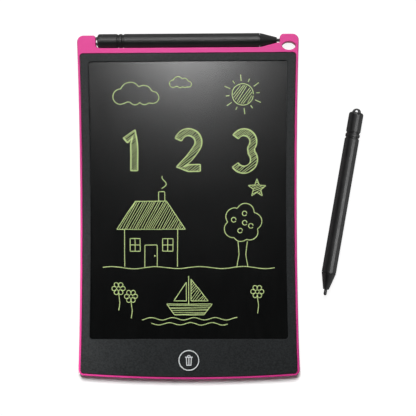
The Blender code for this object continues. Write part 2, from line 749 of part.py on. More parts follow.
def make_rear_case():
    back = quarter(BACK_ROUND)
    front = quarter(FRONT_ROUND)
    levels = [(along, inwards) for along, inwards in back]
    levels += [(BODY_DEPTH - along, inwards) for along, inwards in reversed(front)]
    case = add_object("rear_case", slab("rear_case", case_corners(), levels), PINK_ABS)
    cut(case, slab("case_hollow", panel_corners(), [
        (FLOOR, LEDGE),
        (LEDGE_TOP, LEDGE),
        (LEDGE_TOP, -FIT),
        (BODY_DEPTH + OVERRUN, -FIT),
    ]))
    bore = SCREW_SHANK_RADIUS + FIT
    bosses = screw_bosses(bore + BOSS_WALL, FLOOR / 2, PCB_BACK - FIT)
    join(case, *board_ribs(), *door_frame(), *bosses)
    bores = screw_bosses(bore, FLOOR / 2, PCB_TOP)
    cut(case, *bores, *door_seat(), *lock_slot(), *hook_pockets())
    cut(case, stylus_envelope(), loop_groove(), lanyard_hole())


def panel_hooks():
    """Barbed snap hooks down both sides, under the bezel."""
    top = PANEL_BACK + PANEL_THICKNESS / 2
    foot = LEDGE_TOP - HOOK_DROP
    meshes = []
    for i, y in enumerate(hook_ys()):
        for sign in (-1, 1):
            outer = half_width_at(y) - PANEL_MARGIN - HOOK_BARB - FIT
            inner = outer - HOOK_THICKNESS
            profile = [
                (sign * inner, foot),
                (sign * outer, foot),
                (sign * (outer + HOOK_BARB), foot + HOOK_BARB),
                (sign * (outer + HOOK_BARB), foot + 2 * HOOK_BARB),
                (sign * outer, foot + 2 * HOOK_BARB),
                (sign * outer, top),
                (sign * inner, top),
            ]
            low, high = y - HOOK_LENGTH / 2, y + HOOK_LENGTH / 2
            meshes.append(extruded(f"hook_{i}_{sign}", profile, low, high, along_y))
    return meshes


def make_front_panel():
    edge = quarter(PANEL_EDGE)
    levels = [(PANEL_BACK, 0.0)]
    levels += [(PANEL_FACE - along, inwards) for along, inwards in reversed(edge)]
    panel = add_object("front_panel", slab("front_panel", panel_corners(), levels), CHARCOAL_ABS)
    window = slab("panel_window", window_corners(), [
        (PANEL_BACK - OVERRUN, 0.0),
        (PANEL_FACE - WINDOW_CHAMFER, 0.0),
        (PANEL_FACE, -WINDOW_CHAMFER),
        (PANEL_FACE + OVERRUN, -WINDOW_CHAMFER),
    ])
    rebate_inset = -(FILM_MARGIN + FIT)
    rebate = slab("panel_rebate", window_corners(), [
        (PANEL_BACK - OVERRUN, rebate_inset),
        (PANEL_FACE - LIP_THICKNESS, rebate_inset),
    ])
    hole = BUTTON_RADIUS + FIT
    low, high = PANEL_BACK - OVERRUN, PANEL_FACE + OVERRUN
    cut(panel, window, rebate, rod("button_hole", (0.0, BUTTON_Y), hole, low, high))
    join(panel, *panel_hooks())


def make_lcd_film():
    corners = window_corners()
    levels = [(FILM_BACK, -FILM_MARGIN), (FILM_TOP, -FILM_MARGIN)]
    add_object("lcd_film", slab("lcd_film", corners, levels), BLACK_FILM)


def make_backing_board():
    """The stiff sheet behind the film, notched round the coin cell and the flat cable."""
    corners = window_corners()
    levels = [(BOARD_BACK, -FILM_MARGIN), (BOARD_TOP, -FILM_MARGIN)]
    board = add_object("backing_board", slab("backing_board", corners, levels), BLACK_BOARD)
    low, high = BOARD_BACK - OVERRUN, BOARD_TOP + OVERRUN
    cell_notch = rod("cell_notch", (CELL_X, CELL_Y), CELL_RADIUS + CELL_BOARD_CLEARANCE, low, high)
    half = TAIL_WIDTH / 2 + TAIL_NOTCH_SIDE
    edge = WINDOW_BOTTOM_Y - FILM_MARGIN
    tail_notch = block(
        "tail_notch",
        (CONNECTOR_X - half, edge - OVERRUN, low),
        (CONNECTOR_X + half, edge + TAIL_UNDER_FILM + TAIL_NOTCH_SIDE, high),
    )
    cut(board, cell_notch, tail_notch)


def make_button():
    """The erase button: a disc with a ledge for its ring and a flange that keeps it under the panel."""
    pivot = add_pivot("erase_button_pivot", (0.0, BUTTON_Y, 0.0))
    face = PANEL_FACE - BUTTON_DROP
    ring_seat = PANEL_FACE - RING_THICKNESS - FIT
    edge = [(BUTTON_FACE_RADIUS - inwards, face - along) for along, inwards in reversed(quarter(BUTTON_EDGE))]
    profile = [
        (0.0, BUTTON_CEILING),
        (BUTTON_CAVITY_RADIUS, BUTTON_CEILING),
        (BUTTON_CAVITY_RADIUS, FLANGE_BACK),
        (BUTTON_RADIUS + FLANGE_WIDTH, FLANGE_BACK),
        (BUTTON_RADIUS + FLANGE_WIDTH, FLANGE_TOP),
        (BUTTON_RADIUS, FLANGE_TOP),
        (BUTTON_RADIUS, ring_seat),
        (BUTTON_FACE_RADIUS, ring_seat),
        *edge,
        (0.0, face),
    ]
    add_object("erase_button", turned("erase_button", profile), CHARCOAL_ABS, pivot)
    inner = BUTTON_FACE_RADIUS + FIT
    outer = inner + RING_WIDTH
    ring = [
        (inner, ring_seat + FIT),
        (outer, ring_seat + FIT),
        (outer, PANEL_FACE - RING_EDGE),
        (outer - RING_EDGE, PANEL_FACE),
        (inner + RING_EDGE, PANEL_FACE),
        (inner, PANEL_FACE - RING_EDGE),
    ]
    add_object("button_ring", turned("button_ring", ring), CHROME, pivot)
    low = PCB_TOP + BUTTON_TRAVEL + FIT
    plunger = rod("switch_plunger", (0.0, 0.0), PLUNGER_RADIUS, low, BUTTON_CEILING - FIT, SMALL_CIRCLE_STEPS)
    add_object("switch_plunger", plunger, GREY_ACETAL, pivot)


def make_tact_switch():
    half = SWITCH_SIDE / 2
    low = (-half, BUTTON_Y - half, PCB_TOP + FIT)
    high = (half, BUTTON_Y + half, SWITCH_TOP)
    switch = add_object("tact_switch", block("tact_switch", low, high, SWITCH_ROUND), STEEL)
    bore = PLUNGER_RADIUS + FIT
    cut(switch, rod(
        "plunger_bore", (0.0, BUTTON_Y), bore, PCB_TOP, SWITCH_TOP + OVERRUN, SMALL_CIRCLE_STEPS
    ))


def lock_body_sides():
    """Low and high corners of the slide switch seen from the front."""
    middle = LOCK_X + LOCK_TRAVEL / 2
    half_x = (LOCK_STUB_LENGTH + LOCK_TRAVEL) / 2 + FIT + LOCK_BODY_WALL
    half_y = LOCK_STUB_WIDTH / 2 + FIT + LOCK_BODY_WALL
    return (middle - half_x, LOCK_Y - half_y), (middle + half_x, LOCK_Y + half_y)


def make_circuit_board():
    low = (PCB_LEFT, pcb_row(-1), PCB_BACK)
    high = (PCB_RIGHT, pcb_row(1), PCB_TOP)
    board = add_object("circuit_board", block("circuit_board", low, high, PCB_ROUND), GREEN_LAMINATE)
    holes = screw_bosses(SCREW_SHANK_RADIUS + FIT, PCB_BACK - OVERRUN, PCB_TOP + OVERRUN)
    low, high = lock_body_sides()
    notch = block(
        "lock_notch",
        (low[0] - FIT, pcb_row(-1) - OVERRUN, PCB_BACK - OVERRUN),
        (high[0] + FIT, high[1] + FIT, PCB_TOP + OVERRUN),
    )
    cut(board, notch, *holes)


def make_screw(name, place, head_low, shank_reach, head_side, parent=None):
    """A pan head screw; head_side is 1 with its head up and -1 with its head down."""
    head = SCREW_HEAD_HEIGHT * head_side
    shank = -shank_reach * head_side
    profile = [
        (0.0, shank),
        (SCREW_SHANK_RADIUS / 2, shank),
        (SCREW_SHANK_RADIUS, shank + SCREW_SHANK_RADIUS / 2 * head_side),
        (SCREW_SHANK_RADIUS, 0.0),
        (SCREW_HEAD_RADIUS, 0.0),
        (SCREW_HEAD_RADIUS, head / 2),
        (SCREW_HEAD_RADIUS * math.cos(math.pi / 6), head),
        (0.0, head),
    ]
    profile = [(radius, head_low + height) for radius, height in profile]
    screw = add_object(name, turned(name, profile, place, SMALL_CIRCLE_STEPS), STEEL, parent)
    x, y = place
    long, short = SCREW_SLOT_LENGTH / 2, SCREW_SLOT_WIDTH / 2
    low, high = sorted((head - SCREW_SLOT_DEPTH * head_side, head + OVERRUN * head_side))
    low, high = head_low + low, head_low + high
    cut(screw, *(
        block(f"slot_{i}", (x - half_x, y - half_y, low), (x + half_x, y + half_y, high))
        for i, (half_x, half_y) in enumerate(((long, short), (short, long)))
    ))


def make_pcb_screws():
    for i, place in enumerate(pcb_screw_places()):
        make_screw(f"board_screw_{i + 1}", place, PCB_TOP + FIT, PCB_TOP - FLOOR, 1)


def make_driver_chip():
    """A moulded eight lead package, its legs stepping down to the board."""
    x, y = CHIP_X, pcb_row(CHIP_ROW_SHARE)
    base = PCB_TOP + FIT
    half_x, half_y = CHIP_LENGTH / 2, CHIP_WIDTH / 2
    body_base = base + CHIP_LEG_THICKNESS / 2
    chip = add_object("driver_chip", block(
        "driver_chip", (x - half_x, y - half_y, body_base), (x + half_x, y + half_y, base + CHIP_HEIGHT)
    ), BLACK_NYLON)
    pitch = CHIP_LENGTH / CHIP_LEGS_PER_SIDE
    shoulder = base + CHIP_HEIGHT / 2
    legs = []
    for i in range(CHIP_LEGS_PER_SIDE):
        leg_x = x - half_x + (i + 1 / 2) * pitch
        for sign in (-1, 1):
            root = y + sign * (half_y - CHIP_LEG_LENGTH)
            knee = y + sign * (half_y + CHIP_LEG_LENGTH / 3)
            ankle = y + sign * (half_y + CHIP_LEG_LENGTH / 2)
            toe = y + sign * (half_y + CHIP_LEG_LENGTH)
            lower = [(root, shoulder), (knee, shoulder), (ankle, base), (toe, base)]
            legs.append(extruded(
                f"leg_{i}_{sign}",
                strip(lower, CHIP_LEG_THICKNESS),
                leg_x - CHIP_LEG_WIDTH / 2,
                leg_x + CHIP_LEG_WIDTH / 2,
                along_x,
            ))
    join(chip, *legs)


def make_small_components():
    base = PCB_TOP + FIT
    y = pcb_row(INDUCTOR_ROW_SHARE)
    half = INDUCTOR_SIDE / 2
    low = (INDUCTOR_X - half, y - half, base)
    high = (INDUCTOR_X + half, y + half, base + INDUCTOR_HEIGHT)
    add_object("boost_inductor", block("boost_inductor", low, high, INDUCTOR_ROUND), BLACK_BOARD)
    places = [(INDUCTOR_X, LEFT_CAPACITOR_ROW_SHARE)]
    places += [(CAPACITOR_X, share) for share in RIGHT_CAPACITOR_ROW_SHARES]
    for i, (x, share) in enumerate(places):
        y = pcb_row(share)
        half_x, half_y = CAPACITOR_LENGTH / 2, CAPACITOR_WIDTH / 2
        name = f"capacitor_{i + 1}"
        add_object(name, block(
            name, (x - half_x, y - half_y, base), (x + half_x, y + half_y, base + CAPACITOR_HEIGHT)
        ), CERAMIC)


def make_flat_cable():
    """The film's printed tail, bent down to a socket on the circuit board."""
    x, y = CONNECTOR_X, pcb_row(CONNECTOR_ROW_SHARE)
    base = PCB_TOP + FIT
    half_x, half_y = CONNECTOR_LENGTH / 2, CONNECTOR_WIDTH / 2
    mouth = base + CONNECTOR_HEIGHT / 2 - TAIL_THICKNESS / 2
    socket = add_object("tail_socket", block(
        "tail_socket", (x - half_x, y - half_y, base), (x + half_x, y + half_y, base + CONNECTOR_HEIGHT)
    ), GREY_ACETAL)
    half = TAIL_WIDTH / 2
    cut(socket, block(
        "tail_mouth",
        (x - half - FIT, y, mouth - FIT / 2),
        (x + half + FIT, y + half_y + OVERRUN, mouth + TAIL_THICKNESS + FIT / 2),
    ))
    film_edge = WINDOW_BOTTOM_Y - FILM_MARGIN
    lift = FILM_BACK - FIT - TAIL_THICKNESS
    slope = (film_edge - y - half_y) / 3
    lower = [
        (y + FIT, mouth),
        (y + half_y + slope, mouth),
        (film_edge - slope, lift),
        (film_edge + TAIL_UNDER_FILM, lift),
    ]
    add_object("film_tail", extruded(
        "film_tail", strip(lower, TAIL_THICKNESS), x - half, x + half, along_x
    ), POLYIMIDE)


def make_lock_switch():
    """The slide switch let into the board's edge, worked by a slider in the back of the case."""
    base = FLOOR + FIT
    flange_top = base + LOCK_FLANGE_THICKNESS
    pivot = add_pivot("lock_slider_pivot", (LOCK_X, LOCK_Y, 0.0))
    half_x = LOCK_PAD_LENGTH / 2
    half_y = LOCK_PAD_WIDTH / 2
    lap_x = half_x + LOCK_TRAVEL + FIT + LOCK_LAP
    lap_y = half_y + FIT + LOCK_LAP
    slider = add_object("lock_slider", block(
        "lock_slider", (-lap_x, -lap_y, base), (lap_x, lap_y, flange_top)
    ), BLACK_NYLON, pivot)
    stub_top = flange_top + LOCK_STUB_HEIGHT
    join(
        slider,
        block("pad", (-half_x, -half_y, LOCK_PAD_DROP), (half_x, half_y, base + FIT), half_y / 2),
        block(
            "stub",
            (-LOCK_STUB_LENGTH / 2, -LOCK_STUB_WIDTH / 2, base + FIT),
            (LOCK_STUB_LENGTH / 2, LOCK_STUB_WIDTH / 2, stub_top),
        ),
    )
    low, high = LOCK_PAD_DROP - OVERRUN, LOCK_PAD_DROP + LOCK_GROOVE_DEPTH
    reach = half_y + OVERRUN
    half = LOCK_GROOVE_WIDTH / 2
    cut(slider, *(
        block(f"groove_{i}", (x - half, -reach, low), (x + half, reach, high))
        for i, x in enumerate(spread(-half_x, half_x, LOCK_GROOVE_COUNT + 1)[1:-1])
    ))
    low, high = lock_body_sides()
    body_base = flange_top + FIT
    body = add_object("lock_switch_body", block(
        "lock_switch_body", (*low, body_base), (*high, body_base + LOCK_BODY_HEIGHT)
    ), STEEL)
    wall = LOCK_BODY_WALL
    cut(body, block(
        "stub_run",
        (low[0] + wall, low[1] + wall, body_base - OVERRUN),
        (high[0] - wall, high[1] - wall, stub_top + FIT),
    ))


def make_battery():
    """The coin cell, its two sprung contacts, and the door with its captive screw."""
    seat = DOOR_DROP + DOOR_THICKNESS
    base = seat + FIT
    top = base + CELL_THICKNESS
    can = [
        (0.0, base),
        (CELL_RADIUS - CELL_CAN_STEP, base),
        (CELL_RADIUS, base + CELL_CAN_STEP),
        (CELL_RADIUS, top - CELL_CAN_STEP),
        (CELL_RADIUS - CELL_CAN_STEP, top - CELL_CAN_STEP),
        (CELL_RADIUS - 2 * CELL_CAN_STEP, top),
        (0.0, top),
    ]
    add_object("coin_cell", turned("coin_cell", can, (CELL_X, CELL_Y)), STEEL)
    cell_edge = CELL_X + CELL_RADIUS
    on_board = PCB_TOP + FIT
    on_cell = top + FIT
    leaf = strip([
        (CELL_X, on_cell),
        (cell_edge, on_cell),
        (cell_edge + CONTACT_RISE, on_board),
        (PCB_LEFT + CONTACT_LANDING, on_board),
    ], CONTACT_THICKNESS)
    high_y = pcb_row(1) - CONTACT_FROM_EDGE
    low_y = high_y - CONTACT_WIDTH
    add_object(
        "battery_contact_negative", extruded("battery_contact_negative", leaf, low_y, high_y, along_y), BRASS
    )
    make_side_clip(low_y - 2 * FIT, on_board)


def make_side_clip(high_y, on_board):
    """The positive contact: a leaf that springs against the side of the can and runs back to the board."""
    low_y = high_y - CONTACT_WIDTH
    nearest = min(max(CELL_Y, low_y), high_y)
    x = CELL_X + math.sqrt((CELL_RADIUS + FIT) ** 2 - (CELL_Y - nearest) ** 2)
    clip = add_object("battery_contact_positive", block(
        "battery_contact_positive",
        (x, low_y, on_board),
        (PCB_LEFT + CONTACT_LANDING, high_y, on_board + CONTACT_THICKNESS),
    ), BRASS)
    join(clip, block(
        "contact_blade",
        (x, low_y, door_frame_top() + FIT),
        (x + CONTACT_THICKNESS, high_y, on_board + CONTACT_THICKNESS / 2),
    ))


def make_battery_door():
    left = door_sides()[0][0]
    hinge_x = left - DOOR_HINGE_GAP
    hinge_z = DOOR_TAB_SKIN + FIT / 2
    pivot = add_pivot("battery_door_pivot", (hinge_x, CELL_Y, hinge_z))
    inner = DOOR_DROP + DOOR_THICKNESS
    corners = [(x - hinge_x, y - CELL_Y, r) for x, y, r in door_corners(0.0, 0.0)]
    levels = [
        (DOOR_DROP - hinge_z, DOOR_DROP),
        (DOOR_DROP + DOOR_DROP - hinge_z, 0.0),
        (inner - hinge_z, 0.0),
    ]
    door = add_object("battery_door", slab("battery_door", corners, levels), PINK_ABS, pivot)
    tab_low = DOOR_TAB_SKIN + FIT
    tab_top = tab_low + DOOR_TAB_THICKNESS
    half = DOOR_TAB_WIDTH / 2
    join(door, *(
        block(
            f"tab_{i}",
            (-DOOR_TAB_REACH, y - CELL_Y - half, tab_low - hinge_z),
            (left - hinge_x + DOOR_ROUND, y - CELL_Y + half, tab_top - hinge_z),
        )
        for i, y in enumerate(door_tab_ys())
    ))
    place = (DOOR_SCREW_X - hinge_x, 0.0)
    head_low = DOOR_DROP + DOOR_SCREW_SINK
    head_top = head_low + SCREW_HEAD_HEIGHT
    low = -OVERRUN - hinge_z
    web = inner - DOOR_SCREW_WEB - hinge_z
    high = inner + OVERRUN - hinge_z
    cut(
        door,
        rod("head_bore", place, SCREW_HEAD_RADIUS + FIT, low, web, SMALL_CIRCLE_STEPS),
        rod("shank_bore", place, SCREW_SHANK_RADIUS + FIT, low, high, SMALL_CIRCLE_STEPS),
    )
    make_screw("door_screw", place, head_top - FIT - hinge_z, DOOR_SCREW_LENGTH, -1, pivot)


def stylus_meshes():
    """The stylus pieces along +Z with the nib's tip at the origin, by name."""
    bore = NIB_RADIUS + FIT
    inner = PEN_RADIUS - PEN_WALL
    core = SPIGOT_RADIUS - PEN_WALL
    tip = [
        (NIB_RADIUS * math.sin(turn), NIB_RADIUS * (1 - math.cos(turn)))
        for turn in spread(0.0, math.pi / 2, EDGE_STEPS)
    ]
    nib = [*tip, (NIB_RADIUS, NIB_REACH + NIB_INSERT), (0.0, NIB_REACH + NIB_INSERT)]
    cone = [
        (bore, NIB_REACH),
        (CONE_TIP_RADIUS - CONE_TIP_ROUND / 2, NIB_REACH),
        (CONE_TIP_RADIUS, NIB_REACH + CONE_TIP_ROUND),
        (PEN_RADIUS, CONE_END - JOINT_NECK),
        (PEN_RADIUS - JOINT_NECK, CONE_END),
        (SPIGOT_RADIUS, CONE_END),
        (SPIGOT_RADIUS, CONE_END + SPIGOT_LENGTH),
        (core, CONE_END + SPIGOT_LENGTH),
        (core, CONE_END),
        (bore, NIB_REACH + NIB_INSERT + FIT),
    ]
    barrel_start = CONE_END + FIT
    neck = PEN_RADIUS - GROOVE_DEPTH
    barrel = [
        (inner, barrel_start),
        (PEN_RADIUS - JOINT_NECK, barrel_start),
        (PEN_RADIUS, barrel_start + JOINT_NECK),
        (PEN_RADIUS, BARREL_END - 2 * GROOVE_NECK),
        (neck, BARREL_END - GROOVE_NECK),
        (neck, BARREL_END),
        (inner, BARREL_END),
    ]
    band_end = BAND_START + BAND_LENGTH
    band = [
        (inner, BAND_START),
        (neck, BAND_START),
        (neck, BAND_START + GROOVE_NECK),
        (PEN_RADIUS, BAND_START + 2 * GROOVE_NECK),
        (PEN_RADIUS, band_end - 2 * GROOVE_NECK),
        (neck, band_end - GROOVE_NECK),
        (neck, band_end),
        (inner, band_end),
    ]
    return {
        "nib": (turned("nib", nib, steps=SMALL_CIRCLE_STEPS), BLACK_NYLON),
        "nose_cone": (turned("nose_cone", cone), BLACK_NYLON),
        "barrel": (turned("barrel", barrel), BLACK_NYLON),
        "band": (turned("band", band), BLACK_NYLON),
        "tail_cap": (tail_cap_mesh(neck, core), BLACK_NYLON),
    }


def tail_cap_mesh(neck, core):
    """The closed end: a cored spigot, a rounded shoulder and an arched loop across it."""
    spigot_start = BARREL_END - SPIGOT_LENGTH
    shoulder = [
        (PEN_RADIUS - inwards, CAP_FACE - along) for along, inwards in reversed(quarter(SHOULDER_ROUND))
    ]
    profile = [
        (0.0, CAP_FACE - SHOULDER_ROUND),
        (core, CAP_FACE - 2 * SHOULDER_ROUND),
        (core, spigot_start),
        (SPIGOT_RADIUS, spigot_start),
        (SPIGOT_RADIUS, CAP_START),
        (neck, CAP_START),
        (neck, CAP_START + GROOVE_NECK),
        (PEN_RADIUS, CAP_START + 2 * GROOVE_NECK),
        *shoulder,
        (0.0, CAP_FACE),
    ]
    cap = add_object("tail_cap_draft", turned("tail_cap_body", profile))
    root = CAP_FACE - LOOP_ROOT
    half = LOOP_THICKNESS / 2
    turns = spread(0.0, math.pi, LOOP_STEPS)
    arch = [(-LOOP_HALF_WIDTH, root), (LOOP_HALF_WIDTH, root)]
    arch += [(LOOP_HALF_WIDTH * math.cos(t), CAP_FACE + LOOP_HEIGHT * math.sin(t)) for t in turns]
    eye_width = LOOP_HALF_WIDTH - 2 * LOOP_WALL
    eye_height = LOOP_HEIGHT - LOOP_WALL
    eye = [(eye_width * math.cos(t), CAP_FACE + eye_height * math.sin(t)) for t in turns]
    join(cap, extruded("loop_arch", arch, -half, half, along_y))
    reach = half + OVERRUN
    cut(cap, extruded("loop_eye", eye, -reach, reach, along_y))
    mesh = baked_mesh(cap)
    bpy.data.objects.remove(cap, do_unlink=True)
    return mesh


def make_styluses():
    meshes = stylus_meshes()
    (tip_x, tip_y, tip_z), rotation = stylus_place()
    docked = add_pivot("stylus_pivot", (tip_x - PEN_PIVOT, tip_y, tip_z), rotation)
    loose = add_pivot(
        "loose_stylus_pivot",
        (BODY_WIDTH / 2 + LOOSE_NIB_FROM_SIDE, -LOOSE_NIB_BELOW_MIDDLE, PEN_RADIUS),
        (-math.pi / 2, 0.0, -LOOSE_LEAN),
    )
    for prefix, pivot, shift in (("stylus_", docked, PEN_PIVOT), ("loose_stylus_", loose, 0.0)):
        for name, (mesh, finish) in meshes.items():
            piece = add_object(prefix + name, mesh, finish, pivot)
            piece.location = (0.0, 0.0, -shift)


def main():
    clear_scene()
    make_rear_case()
    make_front_panel()
    make_lcd_film()
    make_backing_board()
    make_circuit_board()
    make_button()
    make_tact_switch()
    make_pcb_screws()
    make_driver_chip()
    make_small_components()
    make_flat_cable()
    make_lock_switch()
    make_battery()
    make_battery_door()
    make_styluses()


main()
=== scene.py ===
# %% [markdown]
# # A writing tablet and its two styluses
#
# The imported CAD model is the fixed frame: a pink case, a charcoal panel round a black writing film,
# a round erase button, one stylus docked in the top edge and one lying beside the tablet. This lesson
# dresses that frame. It places the camera and the lights, gives every piece the finish of its real
# material, and adds what is too fine for the CAD: the drawing on the film, the sign on the button, the
# signs beside the lock slider and the solder on the circuit board.

import math
import random

import bmesh
import bpy
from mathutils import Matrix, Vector


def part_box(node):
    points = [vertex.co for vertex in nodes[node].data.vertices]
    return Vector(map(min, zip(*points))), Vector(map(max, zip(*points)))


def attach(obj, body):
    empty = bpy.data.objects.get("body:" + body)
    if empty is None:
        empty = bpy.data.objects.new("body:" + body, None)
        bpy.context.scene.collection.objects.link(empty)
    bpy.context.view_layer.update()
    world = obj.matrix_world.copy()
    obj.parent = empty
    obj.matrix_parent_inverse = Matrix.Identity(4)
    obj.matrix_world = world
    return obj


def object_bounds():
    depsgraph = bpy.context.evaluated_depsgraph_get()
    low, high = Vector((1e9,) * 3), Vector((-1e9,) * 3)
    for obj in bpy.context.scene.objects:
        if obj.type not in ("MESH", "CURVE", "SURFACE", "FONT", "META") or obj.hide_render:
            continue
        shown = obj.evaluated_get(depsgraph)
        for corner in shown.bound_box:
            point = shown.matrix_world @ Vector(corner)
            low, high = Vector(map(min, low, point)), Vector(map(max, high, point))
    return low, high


MM = 0.001
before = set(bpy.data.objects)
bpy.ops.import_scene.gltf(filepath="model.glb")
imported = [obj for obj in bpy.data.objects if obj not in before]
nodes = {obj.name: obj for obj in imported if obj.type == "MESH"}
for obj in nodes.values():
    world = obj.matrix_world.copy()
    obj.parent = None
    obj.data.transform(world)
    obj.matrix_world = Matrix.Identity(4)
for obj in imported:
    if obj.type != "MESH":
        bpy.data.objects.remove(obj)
cad_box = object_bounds()
print("CAD nodes:", len(nodes))
print("CAD box in mm:", [[round(value / MM, 2) for value in corner] for corner in cad_box])

# %% [markdown]
# ## The camera
#
# The photograph looks straight down at the tablet from arm's length, with the camera a little to the
# right of the middle. Its place and tilt come from matching some forty points on the edges and corners
# of the model to the picture, so the perspective agrees to about half a pixel. The object lies on its
# back, so the camera hangs above it and looks along -Z.

# %% Hang the camera above the tablet
MATCHED_PLACE = (0.0252, 0.0095, 0.6177)         # metres from the middle of the tablet's back
MATCHED_TILT = (-0.01631, 0.02053, -0.00358)     # radians away from looking straight down
SENSOR_WIDTH, MATCHED_LENS = 36.0, 82.86         # millimetres, as on a full frame camera
NEAREST = 0.01                                   # metres, nearer than any piece comes

scene = bpy.context.scene
camera = bpy.data.objects.new("camera", bpy.data.cameras.new("camera"))
scene.collection.objects.link(camera)
camera.location = MATCHED_PLACE
camera.rotation_euler = MATCHED_TILT
camera.data.sensor_width = SENSOR_WIDTH
camera.data.lens = MATCHED_LENS
camera.data.clip_start = NEAREST
scene.camera = camera
scene.view_settings.view_transform = "Standard"
print("camera height in mm:", camera.location.z / MM)

# %% [markdown]
# ## Helpers for materials
#
# Colours are written as sRGB hex, the way a colour picker shows them, and one function turns them
# into the linear numbers that a shader works with. A second adds a node, sets it up and links it, so
# that each material below reads as a list of what it is made of, and a third starts a material with
# its shader. Pattern scales are given as the size of the real grain in millimetres.

# %% Colour and node helpers
def linear(hex_colour):
    """A linear RGBA colour from sRGB hex such as #D84B93."""
    values = [int(hex_colour[i:i + 2], 16) / 255 for i in (1, 3, 5)]
    return (*(v / 12.92 if v <= 0.04045 else ((v + 0.055) / 1.055) ** 2.4 for v in values), 1.0)


def add_node(tree, kind, inputs=None, **settings):
    """A node with its settings; inputs are plain values, or the outputs that feed the sockets."""
    node = tree.nodes.new(kind)
    for name, value in settings.items():
        setattr(node, name, value)
    for name, value in (inputs or {}).items():
        if isinstance(value, bpy.types.NodeSocket):
            tree.links.new(value, node.inputs[name])
        else:
            node.inputs[name].default_value = value
    return node


def new_finish(name, **constants):
    """A material with a Principled shader whose plain numbers sit on its own sockets."""
    material = bpy.data.materials.new(name)
    material.use_nodes = True
    tree = material.node_tree
    tree.nodes.clear()
    shader = add_node(tree, "ShaderNodeBsdfPrincipled")
    for key, value in constants.items():
        shader.inputs[key.replace("_", " ")].default_value = value
    add_node(tree, "ShaderNodeOutputMaterial", {"Surface": shader.outputs["BSDF"]})
    place = add_node(tree, "ShaderNodeTexCoord").outputs["Object"]
    return material, tree, shader, place


def per_mm(size):
    """The texture scale at which one cell of a pattern is size millimetres across."""
    return 1 / (size * MM)


print("one grain of 0.3 mm is scale", round(per_mm(0.3)))

# %% [markdown]
# ## Pink ABS
#
# The case and the battery door are injection moulded ABS with the pigment in the plastic. The mould
# is finely spark eroded, which leaves a satin skin with a grain of about a quarter of a millimetre.
# Walls that turn away from the face are painted a deeper magenta: painted shade on the rounded edges
# and side walls. A ramp on the face's own direction gives that, and it is fixed to the object, so it
# holds from every side.

# %% Moulded pink ABS
def grain(tree, place, size, depth, detail=3.0):
    """A moulded or eroded grain: a noise of the given size in mm, and the normal that it bends."""
    noise = add_node(tree, "ShaderNodeTexNoise", {
        "Vector": place, "Scale": per_mm(size), "Detail": detail, "Roughness": 0.6,
    })
    bump = add_node(tree, "ShaderNodeBump", {
        "Height": noise.outputs["Fac"], "Distance": depth * MM, "Strength": 0.6,
    })
    return noise.outputs["Fac"], bump.outputs["Normal"]


def blend_colours(tree, factor, first, second):
    """A colour that runs from the first to the second as the factor goes from 0 to 1."""
    mix = add_node(tree, "ShaderNodeMix", {0: factor, 6: first, 7: second}, data_type="RGBA")
    return mix.outputs[2]


def spread_values(tree, value, low, high, out_low, out_high):
    """The value from one range moved to another."""
    return add_node(tree, "ShaderNodeMapRange", {
        "Value": value, "From Min": low, "From Max": high, "To Min": out_low, "To Max": out_high,
    }).outputs["Result"]


def moulded_pink_abs():
    # What it gives the eye: a candy pink that spreads soft light, with magenta outlines of painted shade.
    material, tree, shader, place = new_finish("moulded_pink_abs", IOR=1.53, Specular_IOR_Level=0.3)
    facing = add_node(tree, "ShaderNodeTexCoord").outputs["Normal"]
    upward = add_node(tree, "ShaderNodeSeparateXYZ", {"Vector": facing}).outputs["Z"]
    steepness = add_node(tree, "ShaderNodeMath", {0: upward}, operation="ABSOLUTE").outputs[0]
    # painted shade: steep walls and rounded edges take the deeper magenta #A80E58 in place of their shade
    painted_edge_shade_blend = spread_values(tree, steepness, 0.45, 0.97, 0.0, 1.0)
    body = blend_colours(tree, painted_edge_shade_blend, linear("#A80E58"), linear("#E63C96"))
    clouds, _ = grain(tree, place, 14.0, 0.0)
    cloudy = blend_colours(tree, spread_values(tree, clouds, 0.3, 0.7, 0.0, 0.5), body, linear("#E84A9C"))
    speck, normal = grain(tree, place, 0.25, 0.02)
    specked = blend_colours(tree, spread_values(tree, speck, 0.35, 0.65, 0.0, 0.1), cloudy, linear("#C22C7C"))
    tree.links.new(specked, shader.inputs["Base Color"])
    tree.links.new(spread_values(tree, speck, 0.3, 0.7, 0.46, 0.56), shader.inputs["Roughness"])
    tree.links.new(normal, shader.inputs["Normal"])
    return material


finishes = {"pink": moulded_pink_abs()}
print("finish:", finishes["pink"].name)

# %% [markdown]
# ## Charcoal ABS
#
# The panel and the key are moulded from dark grey ABS in a coarser spark eroded tool, so the surface
# sparkles faintly and spreads every reflection wide. Two noises make it: grains for the sparkle and slow
# clouds for the way skin grease and dust lift a matt surface. The real grains are about 0.3 mm, half a
# pixel here, so they are drawn at 1 mm.

# %% Spark eroded charcoal ABS
def eroded_charcoal_abs():
    # What it gives the eye: a dead matt grey frame that makes the film look wet and black.
    material, tree, shader, place = new_finish("eroded_charcoal_abs", IOR=1.53, Specular_IOR_Level=0.25)
    speck, normal = grain(tree, place, 1.0, 0.3, 2.0)
    clouds, _ = grain(tree, place, 22.0, 0.0)
    specked = blend_colours(tree, spread_values(tree, speck, 0.35, 0.65, 0.0, 1.0),
                            linear("#121415"), linear("#26292A"))
    dusty = blend_colours(tree, spread_values(tree, clouds, 0.35, 0.65, 0.0, 0.25),
                          specked, linear("#292C2F"))
    tree.links.new(dusty, shader.inputs["Base Color"])
    tree.links.new(spread_values(tree, clouds, 0.3, 0.7, 0.5, 0.58), shader.inputs["Roughness"])
    tree.links.new(normal, shader.inputs["Normal"])
    return material


finishes["charcoal"] = eroded_charcoal_abs()
print("finish:", finishes["charcoal"].name)

